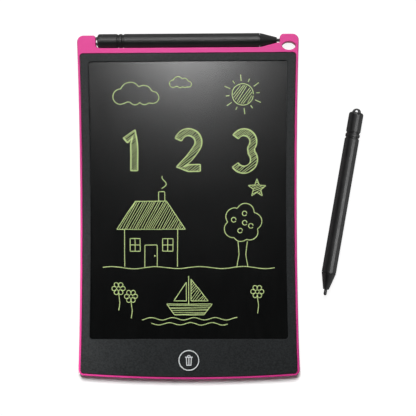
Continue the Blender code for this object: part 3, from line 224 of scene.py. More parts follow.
# %% [markdown]
# ## The writing film
#
# The screen is a clear hard coated sheet over liquid crystal on a black ground. It is semi-gloss: a
# soft lamp shows in it as a broad glow that fades down the sheet. Rubbing and finger grease change
# only how sharply it reflects, so clouds and faint wiping streaks drive the roughness and leave the
# colour almost alone.

# %% Hard coated black film
def hard_coated_film():
    # What it gives the eye: deep black low down, and a soft grey glow where it mirrors a lamp.
    material, tree, shader, place = new_finish("hard_coated_film", IOR=1.5, Specular_IOR_Level=0.5)
    stretched = add_node(tree, "ShaderNodeMapping", {
        "Vector": place, "Scale": (1.0, 0.18, 1.0), "Rotation": (0.0, 0.0, 0.5)}).outputs["Vector"]
    streaks, _ = grain(tree, stretched, 4.0, 0.0, 5.0)
    clouds, _ = grain(tree, place, 30.0, 0.0)
    _, normal = grain(tree, place, 0.2, 0.004, 2.0)
    wiped = add_node(tree, "ShaderNodeMath", {0: streaks, 1: clouds}, operation="MULTIPLY").outputs[0]
    tree.links.new(spread_values(tree, wiped, 0.15, 0.4, 0.24, 0.265), shader.inputs["Roughness"])
    black = blend_colours(tree, spread_values(tree, wiped, 0.15, 0.4, 0.0, 1.0),
                          linear("#020303"), linear("#050606"))
    tree.links.new(black, shader.inputs["Base Color"])
    tree.links.new(normal, shader.inputs["Normal"])
    return material


finishes["film"] = hard_coated_film()
print("finish:", finishes["film"].name)

# %% [markdown]
# ## Satin black ABS
#
# Both styluses, the lock slider and the inner black mouldings are black ABS from a blasted mould.
# Black plastic is never quite black: the skin greys a little where hands polish it, and the fine
# grain breaks up the long highlight along a barrel. Seen at a flat angle the grains shade each other,
# so a barrel's outline stays dark on a white table. A Layer Weight that raises the roughness towards
# the outline does that.

# %% Blasted black ABS
def blasted_black_abs(name, dark, worn, roughness, size):
    """A dark finish that greys towards the worn colour, with a grain of the given size in mm."""
    # What it gives the eye: one soft highlight along a barrel, and black everywhere else.
    material, tree, shader, place = new_finish(name, IOR=1.53, Specular_IOR_Level=0.5)
    speck, normal = grain(tree, place, size, 0.02)
    rub, _ = grain(tree, place, 6.0, 0.0, 4.0)
    polished = blend_colours(tree, spread_values(tree, rub, 0.4, 0.7, 0.0, 1.0), linear(dark), linear(worn))
    tree.links.new(polished, shader.inputs["Base Color"])
    mixed = add_node(tree, "ShaderNodeMath", {0: speck, 1: rub}, operation="MULTIPLY").outputs[0]
    skin = spread_values(tree, mixed, 0.15, 0.4, roughness - 0.05, roughness + 0.05)
    turned_away = add_node(tree, "ShaderNodeLayerWeight", {"Blend": 0.5}).outputs["Facing"]
    shaded = spread_values(tree, turned_away, 0.2, 0.6, 0.0, 0.5)
    rough = add_node(tree, "ShaderNodeMath", {0: skin, 1: shaded}, operation="ADD").outputs[0]
    tree.links.new(rough, shader.inputs["Roughness"])
    tree.links.new(normal, shader.inputs["Normal"])
    return material


BLACKS = {
    # key: name, dark and worn colour, roughness, grain in mm
    "stylus": ("satin_black_stylus", "#0B0B0C", "#131314", 0.45, 0.22),
    "nib": ("rubbed_black_acetal", "#0C0C0D", "#161617", 0.45, 0.15),
    "black": ("moulded_black_nylon", "#131314", "#1D1D1E", 0.5, 0.3),
    "board": ("matt_black_polystyrene", "#0E0E0F", "#19191A", 0.65, 0.5),
    "compound": ("epoxy_moulding_compound", "#1B1B1D", "#29292B", 0.6, 0.12),
    "ferrite": ("sintered_ferrite", "#1F1E1D", "#34312E", 0.7, 0.1),
}
for key, values in BLACKS.items():
    finishes[key] = blasted_black_abs(*values)
print("black finishes:", ", ".join(BLACKS))

# %% [markdown]
# ## Plated metal
#
# The ring round the button is ABS plated in satin silver, with very fine turning marks from its mould.
# A satin plating scatters so much light that it reads as pale grey from everywhere, so it is only part
# metallic here. Screws, switch covers and the coin cell are nickel plated steel, and the contacts are
# brass. A Mapping node puts the turning marks round the middle of the button's ring and of the cell.
# The steel pieces lie far from the middle of their marks, which are nearly straight there, so they
# read as brushed.

# %% Bright metals with turning marks
def wave_scale(gap):
    """The scale of a wave texture with bands gap mm apart; at scale 1 it runs 20 radians a metre."""
    return per_mm(gap) * math.tau / 20


def turned_metal(name, colour, stained, roughness, centre, ring_gap, metallic):
    """A metal with circular marks a given number of mm apart, round an upright line through centre."""
    # What it gives the eye: a bright edge that changes as the piece or the eye moves.
    material, tree, shader, place = new_finish(name, Metallic=metallic)
    centred = add_node(tree, "ShaderNodeMapping", {
        "Vector": place, "Location": (-centre[0], -centre[1], 0.0)}).outputs["Vector"]
    rings = add_node(tree, "ShaderNodeTexWave", {
        "Vector": centred, "Scale": wave_scale(ring_gap), "Distortion": 0.4, "Detail": 2.0,
    }, wave_type="RINGS", rings_direction="Z").outputs["Fac"]
    stain, _ = grain(tree, place, 1.5, 0.0)
    bump = add_node(tree, "ShaderNodeBump", {"Height": rings, "Distance": 0.004 * MM, "Strength": 0.5})
    dulled = blend_colours(tree, spread_values(tree, stain, 0.35, 0.7, 0.0, 0.35),
                           linear(colour), linear(stained))
    tree.links.new(dulled, shader.inputs["Base Color"])
    rough = spread_values(tree, stain, 0.3, 0.7, roughness, roughness + 0.1)
    tree.links.new(rough, shader.inputs["Roughness"])
    tree.links.new(bump.outputs["Normal"], shader.inputs["Normal"])
    return material


def middle(node):
    """The middle of a CAD node's box, in metres."""
    low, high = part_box(node)
    return (low + high) / 2


ring_centre, cell_centre, origin = middle("button_ring"), middle("coin_cell"), (0.0, 0.0)
METALS = {
    # key: name, colour, stained colour, roughness, centre of the marks, their gap in mm, how metallic
    "ring": ("satin_silver_plating", "#F6FAFA", "#D5DBDB", 0.42, ring_centre, 0.25, 0.2),
    "cell": ("nickel_plated_can", "#B9BBB8", "#A9AFAC", 0.28, cell_centre, 0.3, 1.0),
    "brass": ("spring_brass", "#C9A24A", "#A98B52", 0.3, cell_centre, 1.2, 1.0),
    "steel": ("nickel_plated_steel", "#B4B6B5", "#A9AFAC", 0.3, origin, 0.4, 1.0),
}
for key, values in METALS.items():
    finishes[key] = turned_metal(*values)
print("metal finishes:", ", ".join(METALS))

# %% [markdown]
# ## Circuit board, cable and small parts
#
# The laminate is woven glass under green solder mask, with copper tracks showing as paler lines. The
# cable is amber polyimide with parallel copper tracks inside it. The chip capacitors are fired
# ceramic, tinned at both ends. None of them shows with the case closed.

# %% Laminate, polyimide, ceramic and acetal
def masked_laminate():
    # What it gives the eye: glossy green with paler tracks.
    material, tree, shader, place = new_finish(
        "masked_laminate", IOR=1.5, Coat_Weight=0.4, Coat_Roughness=0.2)
    # The tracks are the borders of blocky cells, where the two nearest cells are equally far away.
    nearest, second = (
        add_node(tree, "ShaderNodeTexVoronoi", {"Vector": place, "Scale": per_mm(3.0)},
                 distance="CHEBYCHEV", feature=feature).outputs["Distance"]
        for feature in ("F1", "F2"))
    border = add_node(tree, "ShaderNodeMath", {0: second, 1: nearest}, operation="SUBTRACT").outputs[0]
    tracks = spread_values(tree, border, 0.05, 0.08, 1.0, 0.0)
    weave = add_node(tree, "ShaderNodeTexWave", {"Vector": place, "Scale": wave_scale(0.5)}).outputs["Fac"]
    bump = add_node(tree, "ShaderNodeBump", {"Height": tracks, "Distance": 0.03 * MM, "Strength": 0.5})
    ground = blend_colours(tree, weave, linear("#13492A"), linear("#175230"))
    tree.links.new(blend_colours(tree, tracks, ground, linear("#2C7D4C")), shader.inputs["Base Color"])
    tree.links.new(spread_values(tree, weave, 0.0, 1.0, 0.32, 0.42), shader.inputs["Roughness"])
    tree.links.new(bump.outputs["Normal"], shader.inputs["Normal"])
    return material


def tracked_polyimide():
    # What it gives the eye: clear amber with copper stripes.
    material, tree, shader, place = new_finish("tracked_polyimide", IOR=1.6)
    tracks = add_node(tree, "ShaderNodeTexWave", {"Vector": place, "Scale": wave_scale(1.0)},
                      bands_direction="X").outputs["Fac"]
    copper = spread_values(tree, tracks, 0.45, 0.55, 0.0, 1.0)
    striped = blend_colours(tree, copper, linear("#8A4A14"), linear("#B9742C"))
    tree.links.new(striped, shader.inputs["Base Color"])
    tree.links.new(spread_values(tree, copper, 0.0, 1.0, 0.3, 0.4), shader.inputs["Roughness"])
    bump = add_node(tree, "ShaderNodeBump", {"Height": copper, "Distance": 0.02 * MM, "Strength": 0.5})
    tree.links.new(bump.outputs["Normal"], shader.inputs["Normal"])
    return material


def fired_ceramic(node):
    """Tan ceramic in the middle of the part and dull tin over the last quarter at both ends."""
    # What it gives the eye: a matt tan block with two grey metal ends.
    material, tree, shader, place = new_finish("fired_ceramic_" + node, IOR=1.7)
    low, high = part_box(node)
    along = add_node(tree, "ShaderNodeSeparateXYZ", {"Vector": place}).outputs["X"]
    centre, length = (low.x + high.x) / 2, high.x - low.x
    off = add_node(tree, "ShaderNodeMath", {0: along, 1: centre}, operation="SUBTRACT").outputs[0]
    reach = add_node(tree, "ShaderNodeMath", {0: off}, operation="ABSOLUTE").outputs[0]
    tin = spread_values(tree, reach, length * 0.26, length * 0.28, 0.0, 1.0)
    speck, normal = grain(tree, place, 0.12, 0.01)
    body = blend_colours(tree, speck, linear("#8C6A48"), linear("#B08A62"))
    tree.links.new(blend_colours(tree, tin, body, linear("#C4C4C0")), shader.inputs["Base Color"])
    tree.links.new(tin, shader.inputs["Metallic"])
    tree.links.new(spread_values(tree, speck, 0.3, 0.7, 0.38, 0.5), shader.inputs["Roughness"])
    tree.links.new(normal, shader.inputs["Normal"])
    return material


finishes["laminate"] = masked_laminate()
finishes["polyimide"] = tracked_polyimide()
finishes["acetal"] = blasted_black_abs("grey_acetal", "#8B8B8D", "#9C9C9D", 0.42, 0.2)
print("finishes so far:", len(finishes))

# %% [markdown]
# ## Dress the CAD nodes
#
# Every node keeps its shape from the CAD and takes one finish. A node that isn't listed here is a
# piece of a stylus, and they all share one finish. Each chip capacitor has its own, because the tin at
# its ends is measured from its own middle.

# %% Give every node its finish
FINISH_OF = [
    (("rear_case", "battery_door"), "pink"),
    (("front_panel", "erase_button"), "charcoal"),
    (("lcd_film",), "film"),
    (("button_ring",), "ring"),
    (("coin_cell",), "cell"),
    (("battery_contact_negative", "battery_contact_positive"), "brass"),
    (("stylus_nib", "loose_stylus_nib"), "nib"),
    (("backing_board",), "board"),
    (("circuit_board",), "laminate"),
    (("film_tail",), "polyimide"),
    (("driver_chip",), "compound"),
    (("boost_inductor",), "ferrite"),
    (("lock_slider",), "black"),
    (("switch_plunger", "tail_socket"), "acetal"),
    (("door_screw", "board_screw_1", "board_screw_2", "board_screw_3"), "steel"),
    (("tact_switch", "lock_switch_body"), "steel"),
]
chosen = {name: finish for names, finish in FINISH_OF for name in names}
for name, node in nodes.items():
    if name.startswith("capacitor"):
        material = fired_ceramic(name)
    else:
        material = finishes[chosen.get(name, "stylus")]
    for slot in node.material_slots:
        slot.material = material
print("nodes dressed:", len(nodes), "by name:", len(chosen))

# %% [markdown]
# ## The drawing on the film
#
# On a real tablet the stylus presses the crystal layer into its bright state, and the line shows
# yellow green on black, about 0.6 mm wide, thicker where the hand presses and thinner in hatching.
# The picture here is a child's one: a sun, two clouds, three hatched numerals, a house, a tree, a boat,
# a star and some flowers. It is kept as centre lines in millimetres from the middle of the tablet,
# which are easy to read and change.

# %% Tools for centre lines
rng = random.Random(7)
strokes, hatching = [], []


def draw(points, closed=False):
    """Keep one stroke, joined back to its start if it is closed."""
    strokes.append(list(points) + ([points[0]] if closed else []))


def arc(x, y, radius, low, high, steps=20, squash=1.0):
    """Points on an arc between two angles in degrees."""
    turns = [math.radians(low + (high - low) * i / steps) for i in range(steps + 1)]
    return [(x + radius * math.cos(t), y + radius * squash * math.sin(t)) for t in turns]


def bumpy(x, y, size, circles, steps=100):
    """The outline of overlapping circles round a point inside them, for a cloud or the crown of a tree."""
    points = []
    for i in range(steps):
        turn = math.tau * i / steps
        dx, dy = math.cos(turn), math.sin(turn)
        reach = 0.0
        for cx, cy, radius in circles:
            along, off = cx * dx + cy * dy, cx * dy - cy * dx
            if abs(off) < radius:
                reach = max(reach, along + math.sqrt(radius * radius - off * off))
        points.append((x + size * reach * dx, y + size * reach * dy))
    return points


def hatch(outline, angle, gap, inset=0.2):
    """Slanted strokes across a closed outline, a little uneven, as a hand shades it; lengths in mm."""
    shortest = 2 * gap / 3
    turn = math.radians(angle)
    c, s = math.cos(turn), math.sin(turn)
    turned = [(x * c + y * s, y * c - x * s) for x, y in outline]
    v = min(y for _, y in turned) + gap / 2
    while v < max(y for _, y in turned):
        hits = []
        for (x0, y0), (x1, y1) in zip(turned, turned[1:] + turned[:1]):
            if (y0 <= v) != (y1 <= v):
                hits.append(x0 + (x1 - x0) * (v - y0) / (y1 - y0))
        hits.sort()
        for a, b in zip(hits[::2], hits[1::2]):
            if b - a > shortest:
                slant = rng.uniform(-0.25, 0.25) * gap
                ends = ((a + inset, v - slant), (b - inset, v + slant))
                hatching.append([(x * c - y * s, x * s + y * c) for x, y in ends])
        v += gap * rng.uniform(0.75, 1.25)


def shifted(points, distance):
    """A line moved sideways, to its left for a positive distance."""
    moved = []
    for i, (x, y) in enumerate(points):
        before, after = Vector(points[max(i - 1, 0)]), Vector(points[min(i + 1, len(points) - 1)])
        along = (after - before).normalized()
        moved.append((x - along.y * distance, y + along.x * distance))
    return moved


print("drawing tools ready")

# %% [markdown]
# ## Numerals and sky
#
# The numerals are hollow and hatched, the way a child fills a fat letter: both edges of a broad line,
# gone over a second time a little to the side, with slanted strokes between them.

# %% Numerals, sun and clouds
def numeral(points, x, y, height, width):
    """A hollow numeral: both edges of a broad line, drawn twice and hatched inside."""
    line = [(x + u * height, y + v * height) for u, v in points]
    left, right = shifted(line, width / 2), shifted(line, -width / 2)
    outline = left + right[::-1]
    again_x, again_y = 0.35, 0.25
    draw(outline, closed=True)
    draw([(px + again_x, py + again_y) for px, py in outline], closed=True)
    hatch(outline, 38, 1.2)


numeral_height, numeral_row, line_width = 25.0, 36.0, 4.4
one = [(-0.17, 0.27), (0.05, 0.46), (0.05, 0.2), (0.05, -0.2), (0.05, -0.5)]
two = arc(0.0, 0.22, 0.26, 165, -35, 14) + [(0.02, -0.18), (-0.22, -0.42), (0.0, -0.44), (0.3, -0.44)]
three = arc(-0.02, 0.23, 0.24, 150, -42, 14) + arc(-0.02, -0.23, 0.26, 42, -150, 14)
for figure, x in ((one, -36.0), (two, 0.0), (three, 36.0)):
    numeral(figure, x, numeral_row, numeral_height, line_width)

sun_x, sun_y, rays = 35, 72, 12
draw(arc(sun_x, sun_y, 6.8, 0, 352, 30))
hatch(arc(sun_x, sun_y, 6.2, 0, 345, 24), 55, 1.5)
for i in range(rays):
    turn = math.tau * i / rays + 0.1
    reach = 12.6 if i % 2 else 10.8
    draw([(sun_x + r * math.cos(turn), sun_y + r * math.sin(turn)) for r in (8.6, reach)])
cloud = ((-8, 0, 4.3), (-2.5, 2.4, 5.6), (5, 1.4, 4.8), (10, -0.6, 3.4), (0, -1.4, 3.2), (5.5, -1.6, 3.0))
draw(bumpy(-34, 71, 1.15, cloud), closed=True)
draw(bumpy(-5, 79, 0.55, cloud), closed=True)
print("strokes so far:", len(strokes))

# %% [markdown]
# ## House and tree
#
# The house is straight strokes with a hatched roof, the tree a crown of overlapping bumps, and both
# stand on one wavy line of ground.

# %% House, tree and ground
ground = -38
walls = [(-41, ground), (-41, -14), (-7, -14), (-7, ground)]
roof = [(-46, -14), (-34, 4), (-14, 4), (-2, -14)]
draw(walls)
draw(roof, closed=True)
hatch(roof, 60, 1.25)
draw([(-28, ground), (-28, -24), (-20, -24), (-20, ground)])
draw(arc(-21.6, -31, 0.5, 0, 360, 8))
for x in (-37.5, -16.5):
    draw([(x, -28), (x, -20), (x + 6.5, -20), (x + 6.5, -28)], closed=True)
    draw([(x + 3.2, -28), (x + 3.2, -20)])
    draw([(x, -24), (x + 6.5, -24)])
draw([(-19, 4), (-19, 10), (-15, 10), (-15, 4)])
draw([(-17 + 2.2 * math.sin(t / 3) + t / 6, 12 + t * 0.55) for t in range(16)])

draw([(31, ground), (32.4, -30), (31.6, -22)])
draw([(38, ground), (36.8, -30), (37.6, -22)])
crown = ((-6, -3, 5.5), (-5, 5, 5.5), (2, 8, 5.5), (7, 2, 5.5), (5, -5, 5), (-1, -6, 5))
draw(bumpy(34.5, -11, 1.0, crown), closed=True)
for x, y in ((29, -8), (36, -4), (40, -12), (33, -15), (36, -10)):
    draw(arc(x, y, 1.5, 0, 330, 10))
draw([(x, ground - 0.6 + 0.7 * math.sin(x / 4.5)) for x in range(-55, 56, 2)])
print("strokes so far:", len(strokes))

# %% [markdown]
# ## Boat, flowers and star
#
# The boat rides on two wavy lines. A flower is a stem, a ring and six open loops round it, and the
# star's outline goes in and out between two radii.

# %% Boat, flowers and star
hull = [(-14, -62), (-9, -69), (10, -69), (15, -62)]
draw(hull, closed=True)
hatch(hull, 0, 1.1)
draw([(0, -62), (0, -44)])
sail = [(1.5, -46), (1.5, -60), (12.5, -60)]
draw(sail, closed=True)
hatch(sail, 50, 1.4)
draw([(-1.5, -48), (-1.5, -60), (-9.5, -60)], closed=True)
for row, (low, high) in enumerate(((-30, 32), (-24, 26))):
    draw([(x, -71.5 - 3.2 * row + 0.8 * math.sin(x / 2.2 + row)) for x in range(low, high)])

for x, y in ((-45, -52), (-37, -57), (44, -54)):
    draw([(x, y - 3), (x + 0.8, y - 9), (x + 0.2, y - 14)])
    draw(arc(x, y, 1.3, 0, 340, 10))
    for i in range(6):
        turn = 60 * i
        px, py = x + 2.9 * math.cos(math.radians(turn)), y + 2.9 * math.sin(math.radians(turn))
        draw(arc(px, py, 1.4, turn - 150, turn + 150, 10))
star_x, star_y = 44, 12
star = [(star_x + r * math.sin(math.tau * i / 10), star_y + r * math.cos(math.tau * i / 10))
        for i, r in enumerate([6.0, 2.5] * 5)]
draw(star, closed=True)
hatch(star, 25, 1.15)
print("strokes:", len(strokes), "and hatching strokes:", len(hatching))

# %% [markdown]
# ## From centre lines to pressed lines
#
# Every stroke follows a path, so Geometry Nodes turn the lines into ink. The tree resamples each
# line, lets a noise pull it about by a fraction of a millimetre as a hand would, varies its width
# with pressure, and sweeps a low rounded profile along it. Realize Instances and Set Material end the
# tree, and the result becomes a plain mesh that lies on the film. The hatching goes through the same
# tree with a smaller width and another seed.

# %% The pressed line and the stroke tree
def pressed_line_finish():
    # What it gives the eye: a chalky yellow green that glows against the black.
    material, tree, shader, place = new_finish("pressed_crystal_line", IOR=1.5, Specular_IOR_Level=0.3)
    fleck, normal = grain(tree, place, 0.5, 0.01, 4.0)
    flecked = blend_colours(tree, spread_values(tree, fleck, 0.35, 0.65, 0.0, 1.0),
                            linear("#A8BE78"), linear("#DDF0A8"))
    tree.links.new(flecked, shader.inputs["Base Color"])
    tree.links.new(spread_values(tree, fleck, 0.3, 0.7, 0.4, 0.55), shader.inputs["Roughness"])
    tree.links.new(normal, shader.inputs["Normal"])
    return material


def named_inputs(tree, sizes):
    """The tree's geometry sockets, and a float input for each named size."""
    tree.interface.new_socket("Geometry", in_out="INPUT", socket_type="NodeSocketGeometry")
    for name, value in sizes.items():
        socket = tree.interface.new_socket(name, in_out="INPUT", socket_type="NodeSocketFloat")
        socket.default_value = value
    tree.interface.new_socket("Geometry", in_out="OUTPUT", socket_type="NodeSocketGeometry")
    return tree.nodes.new("NodeGroupInput")


# A line is Width across and Height thick, and strays by Wobble over lengths of Wobble Size. It is
# sampled at every Step, and another Seed strays otherwise.
LINE_SIZES = {"Width": 0.55 * MM, "Height": 0.04 * MM, "Wobble": 0.3 * MM,
              "Wobble Size": 9.0 * MM, "Step": 0.8 * MM, "Seed": 3.0}
HATCH_SIZES = {**LINE_SIZES, "Width": 0.38 * MM, "Height": 0.03 * MM, "Wobble": 0.15 * MM, "Seed": 5.0}
PRESSURE_GRAIN = 4.0                             # mm over which the hand presses harder or softer
LIGHTEST, HEAVIEST = 0.7, 1.2                    # how much that narrows and widens a line


def end_tree(tree, geometry, material):
    """Make real geometry of it, give it the material and hand it to the tree's output."""
    solid = add_node(tree, "GeometryNodeRealizeInstances", {"Geometry": geometry})
    painted = add_node(tree, "GeometryNodeSetMaterial", {"Geometry": solid.outputs[0], "Material": material})
    add_node(tree, "NodeGroupOutput", {"Geometry": painted.outputs[0]})


def stroke_tree(material):
    """Turns bare edges into low rounded lines; its inputs have the names in LINE_SIZES."""
    tree = bpy.data.node_groups.new("pressed_strokes", "GeometryNodeTree")
    given = named_inputs(tree, LINE_SIZES)
    curve = add_node(tree, "GeometryNodeMeshToCurve", {"Mesh": given.outputs["Geometry"]})
    resampled = add_node(tree, "GeometryNodeResampleCurve", {
        "Curve": curve.outputs[0], "Length": given.outputs["Step"]}, mode="LENGTH")
    here = add_node(tree, "GeometryNodeInputPosition").outputs[0]
    rate = add_node(tree, "ShaderNodeMath", {
        0: 1.0, 1: given.outputs["Wobble Size"]}, operation="DIVIDE").outputs[0]
    pull = add_node(tree, "ShaderNodeTexNoise", {
        "Vector": here, "W": given.outputs["Seed"], "Scale": rate, "Detail": 1.0}, noise_dimensions="4D")
    centred = add_node(tree, "ShaderNodeVectorMath", {
        0: pull.outputs["Color"], 1: (0.5, 0.5, 0.5)}, operation="SUBTRACT")
    flat = add_node(tree, "ShaderNodeVectorMath", {
        0: centred.outputs[0], 1: (2.0, 2.0, 0.0)}, operation="MULTIPLY")
    wobble = add_node(tree, "ShaderNodeVectorMath", {
        0: flat.outputs[0], "Scale": given.outputs["Wobble"]}, operation="SCALE")
    moved = add_node(tree, "GeometryNodeSetPosition", {
        "Geometry": resampled.outputs[0], "Offset": wobble.outputs[0]})
    press = add_node(tree, "ShaderNodeTexNoise", {
        "Vector": here, "W": given.outputs["Seed"], "Scale": per_mm(PRESSURE_GRAIN), "Detail": 2.0,
    }, noise_dimensions="4D")
    pressure = spread_values(tree, press.outputs["Fac"], 0.3, 0.7, LIGHTEST, HEAVIEST)
    sized = add_node(tree, "GeometryNodeSetCurveRadius", {"Curve": moved.outputs[0], "Radius": pressure})
    level = add_node(tree, "GeometryNodeSetCurveNormal", {"Curve": sized.outputs[0]}, mode="Z_UP")
    circle = add_node(tree, "GeometryNodeCurvePrimitiveCircle", {"Resolution": 8, "Radius": 0.5})
    span = add_node(tree, "ShaderNodeCombineXYZ", {
        "X": given.outputs["Width"], "Y": given.outputs["Height"], "Z": 1.0})
    profile = add_node(tree, "GeometryNodeTransform", {
        "Geometry": circle.outputs[0], "Scale": span.outputs[0]})
    swept = add_node(tree, "GeometryNodeCurveToMesh", {
        "Curve": level.outputs[0], "Profile Curve": profile.outputs[0], "Fill Caps": True})
    end_tree(tree, swept.outputs[0], material)
    return tree


pressed = stroke_tree(pressed_line_finish())
print("nodes in the stroke tree:", len(pressed.nodes))

# %% [markdown]
# ## Press the lines into the film
#
# A mesh of bare edges carries the centre lines into the tree. What comes out is copied to a plain mesh,
# so the finished piece has no modifier left on it and can ride on the tablet like any other part.

# %% Grow the drawing and its hatching
def grow(name, source, tree, values):
    """A plain mesh object from what the tree makes of the source object, with values for its inputs."""
    modifier = source.modifiers.new(tree.name, "NODES")
    modifier.node_group = tree
    identifiers = {item.name: item.identifier
                   for item in tree.interface.items_tree if item.in_out == "INPUT"}
    for key, value in values.items():
        modifier[identifiers[key]] = value
    graph = bpy.context.evaluated_depsgraph_get()
    mesh = bpy.data.meshes.new_from_object(source.evaluated_get(graph), depsgraph=graph)
    bpy.data.objects.remove(source)
    mesh.name = name
    piece = bpy.data.objects.new(name, mesh)
    scene.collection.objects.link(piece)
    return piece


def line_object(name, lines, height):
    """A mesh of bare edges along lines given in mm, at a height in metres."""
    points, edges = [], []
    for line in lines:
        start = len(points)
        points += [(x * MM, y * MM, height) for x, y in line]
        edges += [(start + i, start + i + 1) for i in range(len(line) - 1)]
    mesh = bpy.data.meshes.new(name)
    mesh.from_pydata(points, edges, [])
    source = bpy.data.objects.new(name, mesh)
    scene.collection.objects.link(source)
    return source


LINE_LIFT = 0.01 * MM                            # centre of a line above the film, so its sides sink in
line_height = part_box("lcd_film")[1].z + LINE_LIFT
for name, lines, values in (("film_drawing", strokes, LINE_SIZES), ("film_hatching", hatching, HATCH_SIZES)):
    piece = grow(name, line_object(name + "_lines", lines, line_height), pressed, values)
    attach(piece, "tablet")
    heights = [round(vertex.co.z / MM, 3) for vertex in piece.data.vertices]
    print(name, "faces:", len(piece.data.polygons), "heights in mm:", min(heights), max(heights))

# %% [markdown]
# ## Signs on the button and the back
#
# The button carries a printed sign, a waste bin, because it wipes the film. Beside the lock slider
# two padlocks are printed in the same silver ink, one shut and one open. All are generic signs, built
# from flat outlines a few hundredths of a millimetre thick.

# %% Printed bin on the button
def plate(bm, outline, low, high):
    """A closed flat plate between two heights, added to the mesh being built; lengths in mm."""
    bottom, top = ([bm.verts.new((x * MM, y * MM, z * MM)) for x, y in outline] for z in (low, high))
    bm.faces.new(bottom[::-1])
    bm.faces.new(top)
    for i in range(len(outline)):
        j = (i + 1) % len(outline)
        bm.faces.new((bottom[i], bottom[j], top[j], top[i]))


def bar(points, width):
    """The outline of a line of the given width in mm."""
    return shifted(points, -width / 2) + shifted(points, width / 2)[::-1]


def finished(name, bm, material, body):
    """The finished piece from the mesh being built, riding on its body."""
    bmesh.ops.recalc_face_normals(bm, faces=bm.faces)
    mesh = bpy.data.meshes.new(name)
    bm.to_mesh(mesh)
    bm.free()
    mesh.materials.append(material)
    piece = bpy.data.objects.new(name, mesh)
    scene.collection.objects.link(piece)
    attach(piece, body)
    return piece


def printed_silver():
    # What it gives the eye: a pale flat grey with a faint glitter.
    material, tree, shader, place = new_finish("printed_silver_ink", Metallic=0.2)
    fleck, normal = grain(tree, place, 0.2, 0.005)
    tree.links.new(blend_colours(tree, fleck, linear("#E0E5E7"), linear("#FAFCFD")),
                   shader.inputs["Base Color"])
    tree.links.new(spread_values(tree, fleck, 0.3, 0.7, 0.35, 0.5), shader.inputs["Roughness"])
    tree.links.new(normal, shader.inputs["Normal"])
    return material


INK = 0.03                                       # mm that the print stands up from the button
BIN = [([(x, 1.7), (x * 0.84, -2.75)], 0.62) for x in (-1.6, 0.0, 1.6)] + [
    ([(-1.65, -3.05), (1.65, -3.05)], 0.6),      # the floor of the bin, and the width of this line
    ([(-2.4, 2.1), (2.4, 2.1)], 0.7),            # its lid
    (arc(0, 2.4, 0.95, 0, 180, 10, 0.9), 0.5),   # the handle on the lid
]
button = middle("erase_button")
bx, by = button.x / MM, button.y / MM
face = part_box("erase_button")[1].z / MM
bm = bmesh.new()
for points, width in BIN:
    plate(bm, bar([(bx + x, by + y) for x, y in points], width), face, face + INK)
silver = printed_silver()
sign = finished("button_sign", bm, silver, "eraser")
print("sign on the button, faces:", len(sign.data.polygons))

# %% [markdown]
# ## Padlocks beside the slider
#
# The back is level with the table, so a print on it reaches downwards. It is let into the back by a
# hair, so that no gap shows between the two.

# %% Printed padlocks beside the slider
SHUT_AT, OPEN_AT = -9.0, 11.5                    # mm along X from the middle of the slider
OUT, IN = -0.03, 0.02                            # heights in mm of the print's two sides; the back is at 0
slider = middle("lock_slider")
y = slider.y / MM
bm = bmesh.new()
for x, is_open in ((slider.x / MM + SHUT_AT, False), (slider.x / MM + OPEN_AT, True)):
    plate(bm, [(x - 1.8, y - 2.1), (x + 1.8, y - 2.1), (x + 1.8, y + 0.4), (x - 1.8, y + 0.4)], OUT, IN)
    shackle = [(x - 1.2, y + 0.4)] + arc(x, y + 1.1, 1.2, 180, 60 if is_open else 0, 12)
    if not is_open:
        shackle.append((x + 1.2, y + 0.4))
    plate(bm, bar(shackle, 0.45), OUT, IN)
locks = finished("lock_signs", bm, silver, "tablet")
print("signs by the slider, faces:", len(locks.data.polygons))

# %% [markdown]
# ## Solder on the circuit board
#
# Every leg and end cap sits in a small fillet of solder. The same blob repeats at each joint, so a
# Geometry Nodes tree puts one on every point of a list.

# %% Put a solder blob at every joint
def solder_finish():
    # What it gives the eye: small bright beads.
    material, tree, shader, place = new_finish("reflowed_solder", Metallic=1.0)
    fleck, normal = grain(tree, place, 0.15, 0.01)
    tree.links.new(blend_colours(tree, fleck, linear("#9FA2A3"), linear("#C6C9CA")),
                   shader.inputs["Base Color"])
    tree.links.new(spread_values(tree, fleck, 0.3, 0.7, 0.22, 0.38), shader.inputs["Roughness"])
    tree.links.new(normal, shader.inputs["Normal"])
    return material


BLOB_SIZES = {"Blob Width": 0.62 * MM, "Blob Height": 0.3 * MM}


def blob_tree(material):
    """Puts a flattened ball on every point that it is given."""
    tree = bpy.data.node_groups.new("solder_blobs", "GeometryNodeTree")
    given = named_inputs(tree, BLOB_SIZES)
    ball = add_node(tree, "GeometryNodeMeshUVSphere", {"Segments": 12, "Rings": 6, "Radius": 0.5})
    width, height = given.outputs["Blob Width"], given.outputs["Blob Height"]
    span = add_node(tree, "ShaderNodeCombineXYZ", {"X": width, "Y": width, "Z": height})
    blob = add_node(tree, "GeometryNodeTransform", {"Geometry": ball.outputs[0], "Scale": span.outputs[0]})
    placed = add_node(tree, "GeometryNodeInstanceOnPoints", {
        "Points": given.outputs["Geometry"], "Instance": blob.outputs[0]})
    end_tree(tree, placed.outputs[0], material)
    return tree


